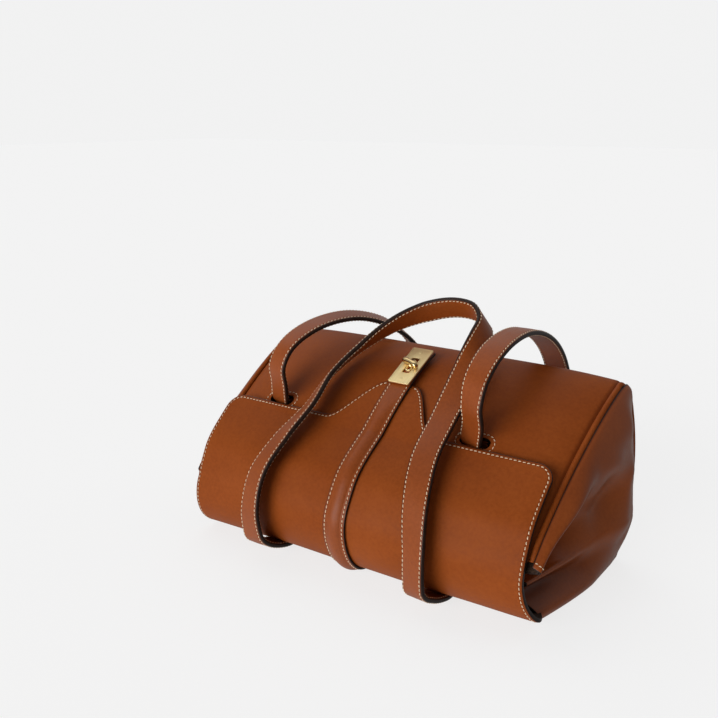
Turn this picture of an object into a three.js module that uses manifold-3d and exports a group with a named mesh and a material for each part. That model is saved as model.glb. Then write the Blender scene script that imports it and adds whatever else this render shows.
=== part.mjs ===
// A leather flap tote lying on its back panel, mouth towards -Y, front panel facing up.
// Millimetres, +Z up. The origin is the middle of the face that the bag rests on.
import * as THREE from "three";
import { mergeVertices } from "three/addons/utils/BufferGeometryUtils.js";
import Module from "manifold-3d";

const wasm = await Module();
wasm.setup();

// Driving sizes of the body
const seamHalfWidth = 158.5; // middle of the bag to the front seam
const baseDepth = 145; // height of the base as the bag lies
const baseY = 59; // outer face of the base
const mouthSeamY = -85; // front seam where it ends at the mouth
const mouthSeamZ = 54.8;
const backMouthY = -47; // mouth edge of the back panel
const backMouthHalfWidth = 149;
const panelCrown = 28; // how far the stuffed front panel stands above the line from base to mouth
const seamCrown = 15; // and its side seams
const seamTaper = 6.5; // how far each side seam draws in towards the mouth
const baseBulge = 3;
const sideBulge = 12; // belly of the gusset and of the base's ends, half way up the base
const lowBulge = 4.5; // where the slack leather sags outwards near the floor
const lowBulgeZ = 34;
const gussetFold = 46; // how deep the gusset folds in at the mouth
const leather = 2;
const lining = 0.8;
const gap = 0.4; // clearance between pieces that touch
const pipingRadius = 2.1;
const cornerRound = 5; // bend of the piping at the base corners
const boardThick = 2;
const boardMargin = 14;

// Driving sizes of the flap
const flapHalfWidth = 150;
const flapPly = 1.5;
const flapLining = 0.8;
const flapRoom = 0.95; // room between the flap's leather and its lining
const flapLift = 3.4; // flap's middle surface above the front panel's
const flapCrown = 8; // barrel of the roll at the middle of the bag
const rollReach = 28; // half axes and centre of the roll round the mouth
const rollHalfHeight = 39.4;
const rollCentreY = -65;
const rollCentreZ = 48;
const hingeY = -50.2; // line where the flap folds off the back panel
const hingeZ = 4.2;
const sideEdgeY = -45.3; // where the flap's side edges end on the front panel
const peakY = -10.2; // where its middle peak ends
const peakHalfWidth = 13;
const peakFootHalfWidth = 50;
const flapCorner = 13;

// Driving sizes of the tongue and the turn lock
const tongueHalfWidth = 11;
const tongueThick = 2.2;
const tonguePad = 2.2; // extra height of the padded middle
const tongueEndY = 29;
const plateHalfWidth = 9.8;
const plateLength = 44;
const plateThick = 1.4;
const plateY = 7;
const lockSlotLength = 19;
const lockSlotWidth = 7;
const postRadius = 2.4;
const knobLength = 17;
const knobWidth = 5;
const knobHeight = 6;
const lockBaseThick = 2.8;
const lockBaseLength = 22;
const lockBaseWidth = 13;
const rivetRadius = 1.6;
const rivetInset = 5;

// Driving sizes of the handles
const strapWidth = 22;
const strapPly = 1.8;
const plyGap = 0.35;
const slotX = seamHalfWidth - 76.5;
const leftSlotShift = 18; // the slack panel carries the left slot further out
const slotAt = (side) => (side < 0 ? -slotX - leftSlotShift : slotX);
const slotY = -37;
const slotLength = 27;
const slotWidth = 9.4;
const facingMargin = 5;
const facingThick = 0.9;
const anchorLength = 32;
const neckHeight = 16; // fixed foot of the front handle above its slot
const rearStrapX = slotX - 7;
const bendReach = 31; // from the rear handle's tabs under the roll to the front of its bends
const bendHeight = 21;
const tabY = -77; // front end of the tabs
const tabLength = 15;
const passGap = 0.6; // room between the two handles where they pass each other
const flapBendZ = 24; // height at which the flap folds open
const archHeight = 52; // top of the front handle above its necks
const loopReach = 155.5; // from the necks back to the far side of its loop
const loopDrop = 106; // from the necks down to the middle of its loop

const strapThick = 2 * strapPly + plyGap;
const up = new THREE.Vector3(0, 0, 1);
const along = new THREE.Vector3(1, 0, 0);

const hide = (colour, roughness = 0.45) =>
  new THREE.MeshStandardMaterial({ color: colour, roughness, metalness: 0 });
const tan = hide("#8a4520");
const darkTan = hide("#6e3316");
const suede = hide("#4a3020", 0.9);
const board = hide("#7a756c", 0.9);
const gold = new THREE.MeshStandardMaterial({ color: "#d8b96a", roughness: 0.22, metalness: 1 });

const bag = new THREE.Group();

function place(parent, name, geometry, material) {
  const mesh = new THREE.Mesh(geometry, material);
  mesh.name = name;
  parent.add(mesh);
  return mesh;
}

// Closed solid between two grids of points, with a wall round its border.
function gridSolid(columns, rows, low, high) {
  const points = [];
  const faces = [];
  const count = (columns + 1) * (rows + 1);
  for (const side of [low, high]) {
    for (let i = 0; i <= columns; i++) {
      for (let j = 0; j <= rows; j++) {
        points.push(...side(i / columns, j / rows).toArray());
      }
    }
  }
  const at = (i, j, side) => side * count + i * (rows + 1) + j;
  const quad = (a, b, c, d) => faces.push(a, b, c, a, c, d);
  for (let i = 0; i < columns; i++) {
    for (let j = 0; j < rows; j++) {
      quad(at(i, j, 1), at(i + 1, j, 1), at(i + 1, j + 1, 1), at(i, j + 1, 1));
      quad(at(i, j, 0), at(i, j + 1, 0), at(i + 1, j + 1, 0), at(i + 1, j, 0));
    }
  }
  for (let i = 0; i < columns; i++) {
    quad(at(i, 0, 0), at(i + 1, 0, 0), at(i + 1, 0, 1), at(i, 0, 1));
    quad(at(i + 1, rows, 0), at(i, rows, 0), at(i, rows, 1), at(i + 1, rows, 1));
  }
  for (let j = 0; j < rows; j++) {
    quad(at(0, j + 1, 0), at(0, j, 0), at(0, j, 1), at(0, j + 1, 1));
    quad(at(columns, j, 0), at(columns, j + 1, 0), at(columns, j + 1, 1), at(columns, j, 1));
  }
  return new THREE.BufferGeometry()
    .setAttribute("position", new THREE.Float32BufferAttribute(points, 3))
    .setIndex(faces);
}

// A sheet of leather: the layer between two offsets from a surface, along its normal.
function sheet(columns, rows, surface, from, to) {
  const step = 1e-3;
  const normal = (u, v) => {
    const du = surface(u + step, v).sub(surface(u - step, v));
    const dv = surface(u, v + step).sub(surface(u, v - step));
    return du.cross(dv).normalize();
  };
  const layer = (offset) => (u, v) => surface(u, v).addScaledVector(normal(u, v), offset);
  return gridSolid(columns, rows, layer(from), layer(to));
}

const toSolid = (geometry) => {
  const bare = geometry.clone();
  bare.deleteAttribute("normal");
  bare.deleteAttribute("uv");
  const merged = mergeVertices(bare, 1e-4);
  return new wasm.Manifold(
    new wasm.Mesh({
      numProp: 3,
      vertProperties: new Float32Array(merged.attributes.position.array),
      triVerts: new Uint32Array(merged.index.array),
    }),
  );
};
const toGeometry = (solid) => {
  const mesh = solid.getMesh();
  return new THREE.BufferGeometry()
    .setAttribute("position", new THREE.BufferAttribute(new Float32Array(mesh.vertProperties), 3))
    .setIndex(new THREE.BufferAttribute(new Uint32Array(mesh.triVerts), 1));
};
const cut = (geometry, ...tools) =>
  toGeometry(tools.reduce((solid, tool) => solid.subtract(toSolid(tool)), toSolid(geometry)));
const join = (...pieces) => toGeometry(pieces.map(toSolid).reduce((a, b) => a.add(b)));

const mix = (a, b, t) => a + (b - a) * t;
const smooth = (t) => t * t * (3 - 2 * t);
const clamp01 = (t) => Math.min(1, Math.max(0, t));

// Front panel: a straight seam line from base corner to mouth, crowned between the two seams.
// v runs from the base (0) to the mouth (1), u from the left seam (0) to the right (1).
const panelHalfWidth = seamHalfWidth - pipingRadius - gap - leather / 2;
const crownSharpness = 6;
const panelHalf = (t) => panelHalfWidth - seamTaper * clamp01(t);
const crownAt = (t) => Math.sqrt(Math.sin(Math.PI * clamp01(t)));
function panelPoint(x, t) {
  const share = 1 - Math.min(1, Math.abs(x / panelHalf(t))) ** crownSharpness;
  const y = mix(baseY - leather / 2, mouthSeamY, t);
  const crown = mix(seamCrown, panelCrown, share) * crownAt(t);
  return new THREE.Vector3(x, y, mix(baseDepth, mouthSeamZ, t) + crown);
}
const panelT = (y) => (baseY - leather / 2 - y) / (baseY - leather / 2 - mouthSeamY);
const eased = (v) => (1 - Math.cos(Math.PI * clamp01(v))) / 2;
const edgeEased = (u) => Math.sin((Math.PI / 2) * (2 * u - 1));
const frontSurface = (u, v) => panelPoint(-panelHalf(eased(v)) * edgeEased(clamp01(u)), eased(v));

// The panel's middle line and its tilt, for what is fixed on it.
function panelFrame(x, y) {
  const step = 0.01;
  const t = panelT(y);
  const position = panelPoint(x, t);
  const slope = panelPoint(x, t - step).sub(panelPoint(x, t + step)).normalize();
  return { position, slope, normal: along.clone().cross(slope).normalize() };
}
function panelGroup(x, y, lift) {
  const { position, slope, normal } = panelFrame(x, y);
  const group = new THREE.Group();
  group.position.copy(position.addScaledVector(normal, lift));
  group.quaternion.setFromRotationMatrix(new THREE.Matrix4().makeBasis(along, slope, normal));
  bag.add(group);
  return group;
}
const placedIn = (group, geometry) => {
  group.updateMatrixWorld(true);
  return geometry.applyMatrix4(group.matrixWorld);
};

// Flat outline with half-round ends, extruded along +Z from a start height.
function slab(length, width, start, height, radius = width / 2) {
  const r = Math.min(radius, width / 2, length / 2);
  const shape = new THREE.Shape();
  const x = length / 2 - r;
  const y = width / 2 - r;
  shape.absarc(x, y, r, 0, Math.PI / 2);
  shape.absarc(-x, y, r, Math.PI / 2, Math.PI);
  shape.absarc(-x, -y, r, Math.PI, 1.5 * Math.PI);
  shape.absarc(x, -y, r, 1.5 * Math.PI, 2 * Math.PI);
  const solid = new THREE.ExtrudeGeometry(shape, { depth: height, bevelEnabled: false, curveSegments: 3 });
  return solid.translate(0, 0, start);
}

// Body panels
const slotGroups = [-1, 1].map((side) => panelGroup(slotAt(side), slotY, 0));
const slotTools = slotGroups.map((group) => placedIn(group, slab(slotLength, slotWidth, -12, 24)));
const lockGroup = panelGroup(0, plateY, leather / 2);
const postTool = placedIn(lockGroup, slab(2 * (postRadius + gap), 2 * (postRadius + gap), -12, 24));
const frontPanel = sheet(20, 12, frontSurface, -leather / 2, leather / 2);
place(bag, "front_panel", cut(frontPanel, ...slotTools, postTool), tan);

const liningInset = leather / 2 + gap + facingThick + gap;
const frontLining = sheet(16, 9, (u, v) => frontSurface(mix(0.04, 0.96, u), mix(0.12, 0.94, v)),
  -liningInset - lining, -liningInset);
const liningSlots = slotGroups.map((group) => placedIn(group, slab(slotLength, slotWidth, -20, 40)));
place(bag, "front_lining", cut(frontLining, ...liningSlots, postTool), suede);

const backHalfWidth = (v) => mix(seamHalfWidth, backMouthHalfWidth, v) - pipingRadius - gap;
const backSurface = (u, v) =>
  new THREE.Vector3(backHalfWidth(v) * (1 - 2 * u), mix(baseY - leather - gap, backMouthY, v), leather / 2);
place(bag, "back_panel", sheet(4, 6, backSurface, -leather / 2, leather / 2), tan);
const backLiningSurface = (u, v) => backSurface(mix(0.03, 0.97, u), mix(0.1, 0.98, v));
place(bag, "back_lining", sheet(4, 4, backLiningSurface, leather / 2 + gap, leather / 2 + gap + lining), suede);

// The base stands upright, with a slight outward belly and bellied ends.
const endBelly = (z) =>
  sideBulge * Math.sin(Math.PI * clamp01(z / baseDepth)) ** 0.6 + lowBulge * Math.exp(-(((z - lowBulgeZ) / 18) ** 2));
const baseSurface = (u, v) =>
  new THREE.Vector3(
    (panelHalfWidth + endBelly(mix(gap, baseDepth, v))) * (2 * u - 1),
    baseY - leather / 2 + baseBulge * Math.sin(Math.PI * clamp01(u)) * Math.sin(Math.PI * clamp01(v)),
    mix(gap, baseDepth - gap - leather, v),
  );
place(bag, "base_panel", sheet(10, 8, baseSurface, -leather / 2, leather / 2), tan);
const boardY = baseY - leather - gap;
const boardShape = slab(2 * (panelHalfWidth - boardMargin), baseDepth - 2 * boardMargin, 0, boardThick, 8);
boardShape.rotateX(Math.PI / 2).translate(0, boardY, baseDepth / 2);
place(bag, "base_board", boardShape, board);
const baseLining = slab(2 * (panelHalfWidth - boardMargin / 2), baseDepth - boardMargin, 0, lining, 4);
baseLining.rotateX(Math.PI / 2).translate(0, boardY - boardThick - gap, baseDepth / 2);
place(bag, "base_lining", baseLining, suede);

// Gussets: from the front seam to the back seam, bulging at the base and folding in at the mouth.
// u runs from base (0) to mouth (1), v from the front seam (0) to the back seam (1).
const seamLift = pipingRadius + gap;
const frontSeam = (u) =>
  new THREE.Vector3(
    seamHalfWidth - seamTaper * clamp01(u),
    mix(baseY - leather, mouthSeamY, u),
    mix(baseDepth, mouthSeamZ, u) + seamCrown * crownAt(u),
  );
const backSeam = (u) =>
  new THREE.Vector3(mix(seamHalfWidth, backMouthHalfWidth, u), mix(baseY - leather, backMouthY, u), seamLift);
const foldShape = (v) => Math.sin(Math.PI * clamp01(v)) ** 2;
function gussetPoint(u, v) {
  const front = frontSeam(u);
  const back = backSeam(u);
  const edge = seamLift / front.distanceTo(back);
  const p = front.lerp(back, mix(edge, 1 - edge, v));
  p.x += endBelly(p.z) * (1 - clamp01(u)) ** 1.5 - gussetFold * clamp01(u) ** 1.6 * foldShape(v);
  return p;
}
const gussetStart = 0.045;
for (const [side, name] of [[-1, "left"], [1, "right"]]) {
  const mirrored = (u, v) => gussetPoint(mix(gussetStart, 1, u), v).multiply(new THREE.Vector3(side, 1, 1));
  const flip = side > 0 ? 1 : -1;
  const layer = (from, to, lowV, highV) =>
    sheet(10, 10, (u, v) => mirrored(u, mix(lowV, highV, flip > 0 ? v : 1 - v)), from, to);
  place(bag, `${name}_gusset`, layer(-leather / 2, leather / 2, 0, 1), tan);
  const inside = leather / 2 + 1.2;
  place(bag, `${name}_gusset_lining`, layer(-inside - lining, -inside, 0.14, 0.86), suede);

  // Piping along the front seam, down the bellied end of the base and along the back seam
  const top = frontSeam(0);
  const foot = backSeam(0);
  const end = [0.06, 0.28, 0.5, 0.72, 0.94].map((t) => {
    const p = top.clone().lerp(foot, t);
    return p.setX(p.x + endBelly(p.z));
  });
  const into = (p, q, reach) => p.clone().addScaledVector(q.clone().sub(p).normalize(), reach);
  const path = new THREE.CurvePath();
  const belly = new THREE.CatmullRomCurve3(end, false, "centripetal");
  const along = [1, 0.97, 0.9, 0.78, 0.64, 0.5, 0.36, 0.22, 0.1, 0.04].map(frontSeam);
  path.add(new THREE.CatmullRomCurve3(along, false, "centripetal"));
  path.add(new THREE.QuadraticBezierCurve3(along[9], top.clone().add(new THREE.Vector3(0, 0, 2)), end[0]));
  path.add(belly);
  path.add(new THREE.QuadraticBezierCurve3(end[4], foot, into(foot, backSeam(1), cornerRound)));
  path.add(new THREE.LineCurve3(into(foot, backSeam(1), cornerRound), backSeam(1)));
  const round = new THREE.Shape().absarc(0, 0, pipingRadius, 0, 2 * Math.PI);
  const tube = new THREE.ExtrudeGeometry(round, { steps: 60, curveSegments: 4, extrudePath: path, bevelEnabled: false });
  tube.scale(side, 1, 1);
  if (side < 0) {
    const index = [...Array(tube.attributes.position.count).keys()];
    for (let k = 0; k < index.length; k += 3) [index[k], index[k + 1]] = [index[k + 1], index[k]];
    tube.setIndex(index);
  }
  place(bag, `${name}_piping`, tube, darkTan);
}

// Flap: a profile that leaves the back panel, rolls round the mouth and lies on the front panel,
// carried along X with a barrel at the middle.
const profilePoint = (y) => {
  const { position, normal } = panelFrame(0, y);
  return position.addScaledVector(normal, flapLift);
};
const rollPoint = (angle) =>
  new THREE.Vector3(0, rollCentreY - rollReach * Math.cos(angle), rollCentreZ + rollHalfHeight * Math.sin(angle));
const rollAngles = [-90, -60, -30, 0, 30, 58].map((degrees) => THREE.MathUtils.degToRad(degrees));
const upperYs = [sideEdgeY, mix(sideEdgeY, peakY, 0.5), peakY, mix(peakY, tongueEndY, 0.5), tongueEndY];
const profile = new THREE.CatmullRomCurve3(
  [new THREE.Vector3(0, hingeY, hingeZ), ...rollAngles.map(rollPoint), ...upperYs.map(profilePoint)],
  false,
  "centripetal",
);
profile.arcLengthDivisions = 400;
const profileLength = profile.getLength();

// Share of the profile's length at which it passes a given Y on the front panel.
function shareAt(y) {
  let low = 0.4;
  let high = 1;
  for (let k = 0; k < 40; k++) {
    const middle = (low + high) / 2;
    if (profile.getPointAt(middle).y < y) low = middle;
    else high = middle;
  }
  return (low + high) / 2;
}
const sideShare = shareAt(sideEdgeY);
const peakShare = shareAt(peakY);
const crownShare = mix(sideShare, peakShare, 0.9);

function flapPoint(x, share, offset = 0) {
  const s = clamp01(share);
  const p = profile.getPointAt(s);
  const t = profile.getTangentAt(s);
  const barrel = flapCrown * Math.sin(Math.PI * clamp01(s / crownShare)) * (1 - (x / flapHalfWidth) ** 2);
  p.addScaledVector(new THREE.Vector3(0, -t.z, t.y), barrel + offset);
  p.x = x;
  return p;
}
// The free edge: level at the sides, with round corners, rising in an S to the middle peak.
function flapEdge(x) {
  const away = Math.abs(x);
  const rise = smooth(clamp01((peakFootHalfWidth - away) / (peakFootHalfWidth - peakHalfWidth)));
  const past = Math.max(0, away - (flapHalfWidth - flapCorner));
  const corner = flapCorner - Math.sqrt(Math.max(0, flapCorner ** 2 - past ** 2));
  return mix(sideShare, peakShare, rise) - corner / profileLength;
}
const flapSurface = (offset) => (u, v) => {
  const x = flapHalfWidth * edgeEased(clamp01(u)) * 0.999;
  return flapPoint(x, mix(bendShare, flapEdge(x), v), offset);
};
const flapOut = (flapPly + flapLining + flapRoom) / 2;
const flap = new THREE.Group();
bag.add(flap);
// The foot of the flap stays with the back panel, and the rest opens from the bend line.
function bendShareAt(z) {
  let low = 0.05;
  let high = 0.3;
  for (let k = 0; k < 40; k++) {
    const middle = (low + high) / 2;
    if (profile.getPointAt(middle).z < z) low = middle;
    else high = middle;
  }
  return (low + high) / 2;
}
const bendShare = bendShareAt(flapBendZ);
const footSurface = (offset) => (u, v) => {
  const x = flapHalfWidth * (2 * clamp01(u) - 1);
  return flapPoint(x, v * (bendShare - gap / profileLength), offset);
};
place(bag, "flap_foot", gridSolid(10, 8, footSurface(-flapOut), footSurface(flapOut)), tan);
place(flap, "flap_panel", gridSolid(28, 14, flapSurface(flapOut - flapPly), flapSurface(flapOut)), tan);
const flapLiningAt = (offset) => (u, v) => flapSurface(offset)(mix(0.02, 0.98, u), mix(0.01, 0.98, v));
place(flap, "flap_lining", gridSolid(28, 12, flapLiningAt(-flapOut), flapLiningAt(flapLining - flapOut)), suede);

// Tongue: a padded strap down the middle of the flap, carrying the lock plate past the flap's peak.
const tongueStart = bendShare + 0.5 / profileLength;
const tongueBase = flapOut + gap;
const tongueHeight = (u, s) => {
  const fade = 1 - smooth(clamp01((s - sideShare) / (0.85 * (peakShare - sideShare))));
  return tongueBase + tongueThick + tonguePad * fade * Math.sin(Math.PI * u);
};
const tongueX = (u) => tongueHalfWidth * (2 * u - 1);
const tongueShare = (v) => mix(tongueStart, 1, v);
const tongueSolid = gridSolid(4, 30, (u, v) => flapPoint(tongueX(u), tongueShare(v), tongueBase),
  (u, v) => flapPoint(tongueX(u), tongueShare(v), tongueHeight(u, tongueShare(v))));
const lockHole = (extra) => slab(lockSlotWidth + extra, lockSlotLength + extra, -2, 40);
const rivetSpots = [-1, 1].map((end) => end * (plateLength / 2 - rivetInset));
const rivetHole = (y) => slab(2 * (rivetRadius + gap), 2 * (rivetRadius + gap), -1, 60).translate(0, y, 0);
const tongueHoles = [lockHole(3), ...rivetSpots.map(rivetHole)].map((tool) => placedIn(lockGroup, tool));
place(flap, "tongue_strap", cut(tongueSolid, ...tongueHoles), tan);

// Turn lock: a base and post on the front panel, a slotted plate on the tongue, and the turning knob.
const plateStart = flapLift - leather / 2 + tongueBase + tongueThick + gap;
const plate = slab(2 * plateHalfWidth, plateLength, plateStart, plateThick, 1.2);
place(lockGroup, "lock_plate", cut(plate, lockHole(0), ...rivetSpots.map(rivetHole)), gold);
rivetSpots.forEach((y, k) => {
  const rivet = slab(2 * rivetRadius, 2 * rivetRadius, plateStart - tongueThick, tongueThick + plateThick + 0.4);
  place(lockGroup, k ? "upper_rivet" : "lower_rivet", rivet.translate(0, y, 0), gold);
});
const base = slab(lockBaseWidth, lockBaseLength, gap, lockBaseThick, 3);
const baseHole = slab(2 * (postRadius + gap), 2 * (postRadius + gap), -20, 60);
place(lockGroup, "lock_base", cut(base, baseHole), gold);
const knobStart = plateStart + plateThick + gap;
const post = slab(2 * postRadius, 2 * postRadius, -leather / 2, knobStart + leather / 2 + knobHeight / 2);
const bow = slab(knobLength, knobHeight, -knobWidth / 2, knobWidth, knobHeight / 2.2);
bow.rotateX(Math.PI / 2).translate(0, 0, knobStart + knobHeight / 2);
place(lockGroup, "turn_knob", join(post, bow), gold);
const washerDepth = leather + gap;
const washer = slab(lockBaseWidth, lockBaseWidth, -washerDepth - facingThick, facingThick);
place(lockGroup, "lock_washer", washer, gold);

// Facings behind the slots, following the panel.
[-1, 1].forEach((side, k) => {
  const name = side < 0 ? "left" : "right";
  const reach = slotLength / 2 + facingMargin;
  const spread = (slotWidth / 2 + facingMargin) / (baseY - mouthSeamY);
  const at = (u, v) =>
    panelPoint(slotAt(side) + reach * (1 - 2 * u), panelT(slotY) + spread * (2 * v - 1) * 0.85);
  const start = -leather / 2 - gap;
  const facing = sheet(8, 3, at, start - facingThick, start);
  place(bag, `${name}_slot_facing`, cut(facing, slotTools[k]), darkTan);
});

// A strap: a ribbon along a curve, whose width direction is led by a list of directions.
function ribbon(points, widths, stations, from, to, start = 0, end = 1) {
  const curve = new THREE.CatmullRomCurve3(points, false, "centripetal");
  curve.arcLengthDivisions = 600;
  const frame = (s) => {
    const t = curve.getUtoTmapping(s);
    const span = t * (widths.length - 1);
    const k = Math.min(widths.length - 2, Math.floor(span));
    const tangent = curve.getTangentAt(s);
    const width = widths[k].clone().lerp(widths[k + 1], span - k);
    width.addScaledVector(tangent, -width.dot(tangent)).normalize();
    return { p: curve.getPointAt(s), width, face: width.clone().cross(tangent) };
  };
  const layer = (offset) => (u, v) => {
    const { p, width, face } = frame(mix(start, end, u));
    return p.addScaledVector(width, strapWidth * (v - 0.5)).addScaledVector(face, offset);
  };
  return gridSolid(stations, 1, layer(to), layer(from));
}
const outerPly = [plyGap / 2, strapThick / 2];
const innerPly = [-strapThick / 2, -plyGap / 2];

// Rear handle: tabs under the roll, quarter bends, then the loop, which rises in front of the roll,
// passes inside the front handle and arches over the front panel.
const tabZ = strapThick / 2 + gap;
const bendTopZ = tabZ + bendHeight;
const passX = slotX - strapWidth - passGap;
const lean = new THREE.Vector3(0, -0.74, 0.67);
const back = along.clone().negate();
const halfway = (a, b) => a.clone().add(b).normalize();
const rearFront = tabY - bendReach;
const rearPoints = [
  [-rearStrapX, rearFront, bendTopZ, along],
  [-rearStrapX, rearFront - 1, 45, along],
  [-rearStrapX, -104, 72, along],
  [-mix(rearStrapX, passX, 0.5), -84, 96, along],
  [-passX, -55, 117, along],
  [-passX, -29, 135, along],
  [-0.85 * passX, -1, 154, halfway(along, lean)],
  [-0.5 * passX, 23, 174, lean],
  [-0.08 * passX, 37, 186, lean],
  [0.32 * passX, 41, 191.5, lean],
  [0.675 * passX, 38, 190.5, lean],
  [0.93 * passX, 29, 184, halfway(lean, halfway(back, lean))],
  [passX, 13, 173, halfway(back, lean)],
  [passX, -8, 156, back],
  [passX, -45, 127, back],
  [mix(rearStrapX, passX, 0.88), -76, 106, back],
  [mix(rearStrapX, passX, 0.4), -99, 80, back],
  [rearStrapX, rearFront - 1, 48, back],
  [rearStrapX, rearFront, bendTopZ, back],
];
const rearCurve = rearPoints.map(([x, y, z]) => new THREE.Vector3(x, y, z));
const rearWidths = rearPoints.map((p) => p[3]);
const rearHandle = new THREE.Group();
flap.add(rearHandle);
place(rearHandle, "rear_handle_outer", ribbon(rearCurve, rearWidths, 72, ...outerPly), tan);
place(rearHandle, "rear_handle_inner", ribbon(rearCurve, rearWidths, 72, ...innerPly), tan);

for (const [side, name] of [[-1, "left"], [1, "right"]]) {
  const tab = slab(strapWidth, tabLength, gap, strapThick, 2);
  tab.translate(side * rearStrapX, tabY + tabLength / 2 + gap, 0);
  place(bag, `rear_handle_${name}_tab`, tab, tan);
  // The bend rises slowly off the floor, then turns up.
  const arc = [[0, 0], [0.36, 0.1], [0.68, 0.34], [0.9, 0.62], [1, 1]].map(
    ([reach, rise]) =>
      new THREE.Vector3(side * rearStrapX, tabY - reach * bendReach, tabZ + rise * bendHeight),
  );
  const bend = ribbon(arc, arc.map(() => along), 8, -strapThick / 2, strapThick / 2, 0, 0.985);
  place(bag, `rear_handle_${name}_bend`, bend, tan);
}

// Front handle: necks come up through the slots, then the loop arches back over the base
// and hangs behind it.
const slotPlace = panelFrame(slotX, slotY);
const footY = slotPlace.position.y;
const footZ = slotPlace.position.z;
const pivotY = footY - 5;
const pivotZ = footZ + neckHeight;
const down = new THREE.Vector3(0, -1, 0);
const loopShift = 6; // the far end of the loop lies a little to one side
const loopSink = 5; // and its left strap a little lower
const frontHalf = [
  [slotX, 0, 0, 0, 1],
  [slotX, -8, 15, 0, 1],
  [slotX, -7.5, 32, 0.1, 0.92],
  [slotX, 0.1125 * loopReach, archHeight - 5, 0.4, 0.55],
  [slotX - 0.5, 0.3955 * loopReach, archHeight, 0.7, 0.15],
  [slotX - 1, 0.6656 * loopReach, archHeight - 11, 0.9],
  [slotX - 2, 0.8714 * loopReach, archHeight - 34, 1],
  [slotX - 2, loopReach - 3, -0.132 * loopDrop, 1],
  [slotX - 4, loopReach, -0.462 * loopDrop, 1],
  [slotX - 17, loopReach - 1, -0.764 * loopDrop, 1],
  [slotX - 43, loopReach - 2, -0.934 * loopDrop, 1],
];
const frontSide = (side) =>
  frontHalf.map(
    ([x, y, z, k, out = 0]) =>
      new THREE.Vector3(
        side * x + k * loopShift - (side < 0 ? out * leftSlotShift : 0),
        pivotY + y,
        pivotZ + z - (side < 0 ? k * loopSink : 0),
      ),
  );
const frontPoints = [
  ...frontSide(1),
  new THREE.Vector3(loopShift, pivotY + loopReach - 2, pivotZ - loopDrop),
  ...frontSide(-1).reverse(),
];
const turning = halfway(along, down);
const frontWidths = [
  ...Array(7).fill(along), along, halfway(along, turning), turning, down,
  down,
  down, halfway(back, down), halfway(back, halfway(back, down)), back, ...Array(7).fill(back),
];
const frontHandle = new THREE.Group();
bag.add(frontHandle);
place(frontHandle, "front_handle_outer", ribbon(frontPoints, frontWidths, 84, ...outerPly), tan);
place(frontHandle, "front_handle_inner", ribbon(frontPoints, frontWidths, 84, ...innerPly), tan);

for (const [side, name] of [[-1, "left"], [1, "right"]]) {
  const slotCentre = slotAt(side);
  const { position, slope, normal } = panelFrame(slotCentre, slotY);
  const sag = position.z - panelFrame(slotCentre + (side * strapWidth) / 2, slotY).position.z;
  const below = liningInset + lining + 1.6 + strapThick / 2 + sag;
  const inside = (reach, depth) => position.clone().addScaledVector(slope, reach).addScaledVector(normal, -depth);
  const path = [
    inside(anchorLength, below + 1.5),
    inside(anchorLength / 2, below + 0.6),
    inside(7, below + 0.4),
    inside(1.2, below - 2),
    inside(-0.4, 0),
    new THREE.Vector3(0, pivotY, pivotZ - 2 * gap),
  ].map((p) => p.setX(slotCentre));
  const neck = ribbon(path, path.map(() => along), 20, -strapThick / 2, strapThick / 2);
  place(bag, `front_handle_${name}_neck`, neck, tan);
}

export default bag;
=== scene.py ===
import math
import bmesh
import bpy
import numpy as np
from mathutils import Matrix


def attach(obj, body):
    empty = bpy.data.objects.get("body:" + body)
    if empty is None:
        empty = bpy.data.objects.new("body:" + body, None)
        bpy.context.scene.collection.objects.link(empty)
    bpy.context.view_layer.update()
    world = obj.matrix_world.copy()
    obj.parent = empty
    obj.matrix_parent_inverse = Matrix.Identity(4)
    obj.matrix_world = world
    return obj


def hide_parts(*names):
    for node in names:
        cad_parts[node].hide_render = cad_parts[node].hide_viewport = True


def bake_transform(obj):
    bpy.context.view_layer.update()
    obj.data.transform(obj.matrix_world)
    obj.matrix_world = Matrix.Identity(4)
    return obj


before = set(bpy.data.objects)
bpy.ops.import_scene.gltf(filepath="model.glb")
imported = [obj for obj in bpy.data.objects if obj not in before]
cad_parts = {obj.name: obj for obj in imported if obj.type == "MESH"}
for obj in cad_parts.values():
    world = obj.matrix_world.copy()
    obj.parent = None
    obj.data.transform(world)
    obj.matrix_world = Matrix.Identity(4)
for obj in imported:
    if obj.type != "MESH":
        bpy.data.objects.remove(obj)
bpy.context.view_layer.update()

print("frame loaded:", len(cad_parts), "nodes")
mm = 0.001

# Camera where the photograph was taken from: 35 degrees round, 15 degrees up
view = {"eye": (0.3709, -0.5999, 0.3458), "azimuth": 35.03, "elevation": 15.26, "lens": 45.13}
camera = bpy.data.objects.new("viewCamera", bpy.data.cameras.new("viewCamera"))
bpy.context.scene.collection.objects.link(camera)
camera.location = view["eye"]
camera.rotation_euler = (math.radians(90 - view["elevation"]), 0, math.radians(view["azimuth"]))
camera.data.lens = view["lens"]
camera.data.sensor_width = 36
camera.data.clip_start = 0.01
bpy.context.scene.camera = camera
bpy.context.scene.view_settings.view_transform = "Standard"


def mix(a, b, t):
    return a + (b - a) * t


def smooth(t):
    t = np.clip(t, 0, 1)
    return t * t * (3 - 2 * t)


def unit(v):
    return v / np.maximum(np.linalg.norm(v, axis=-1, keepdims=True), 1e-12)


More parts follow.
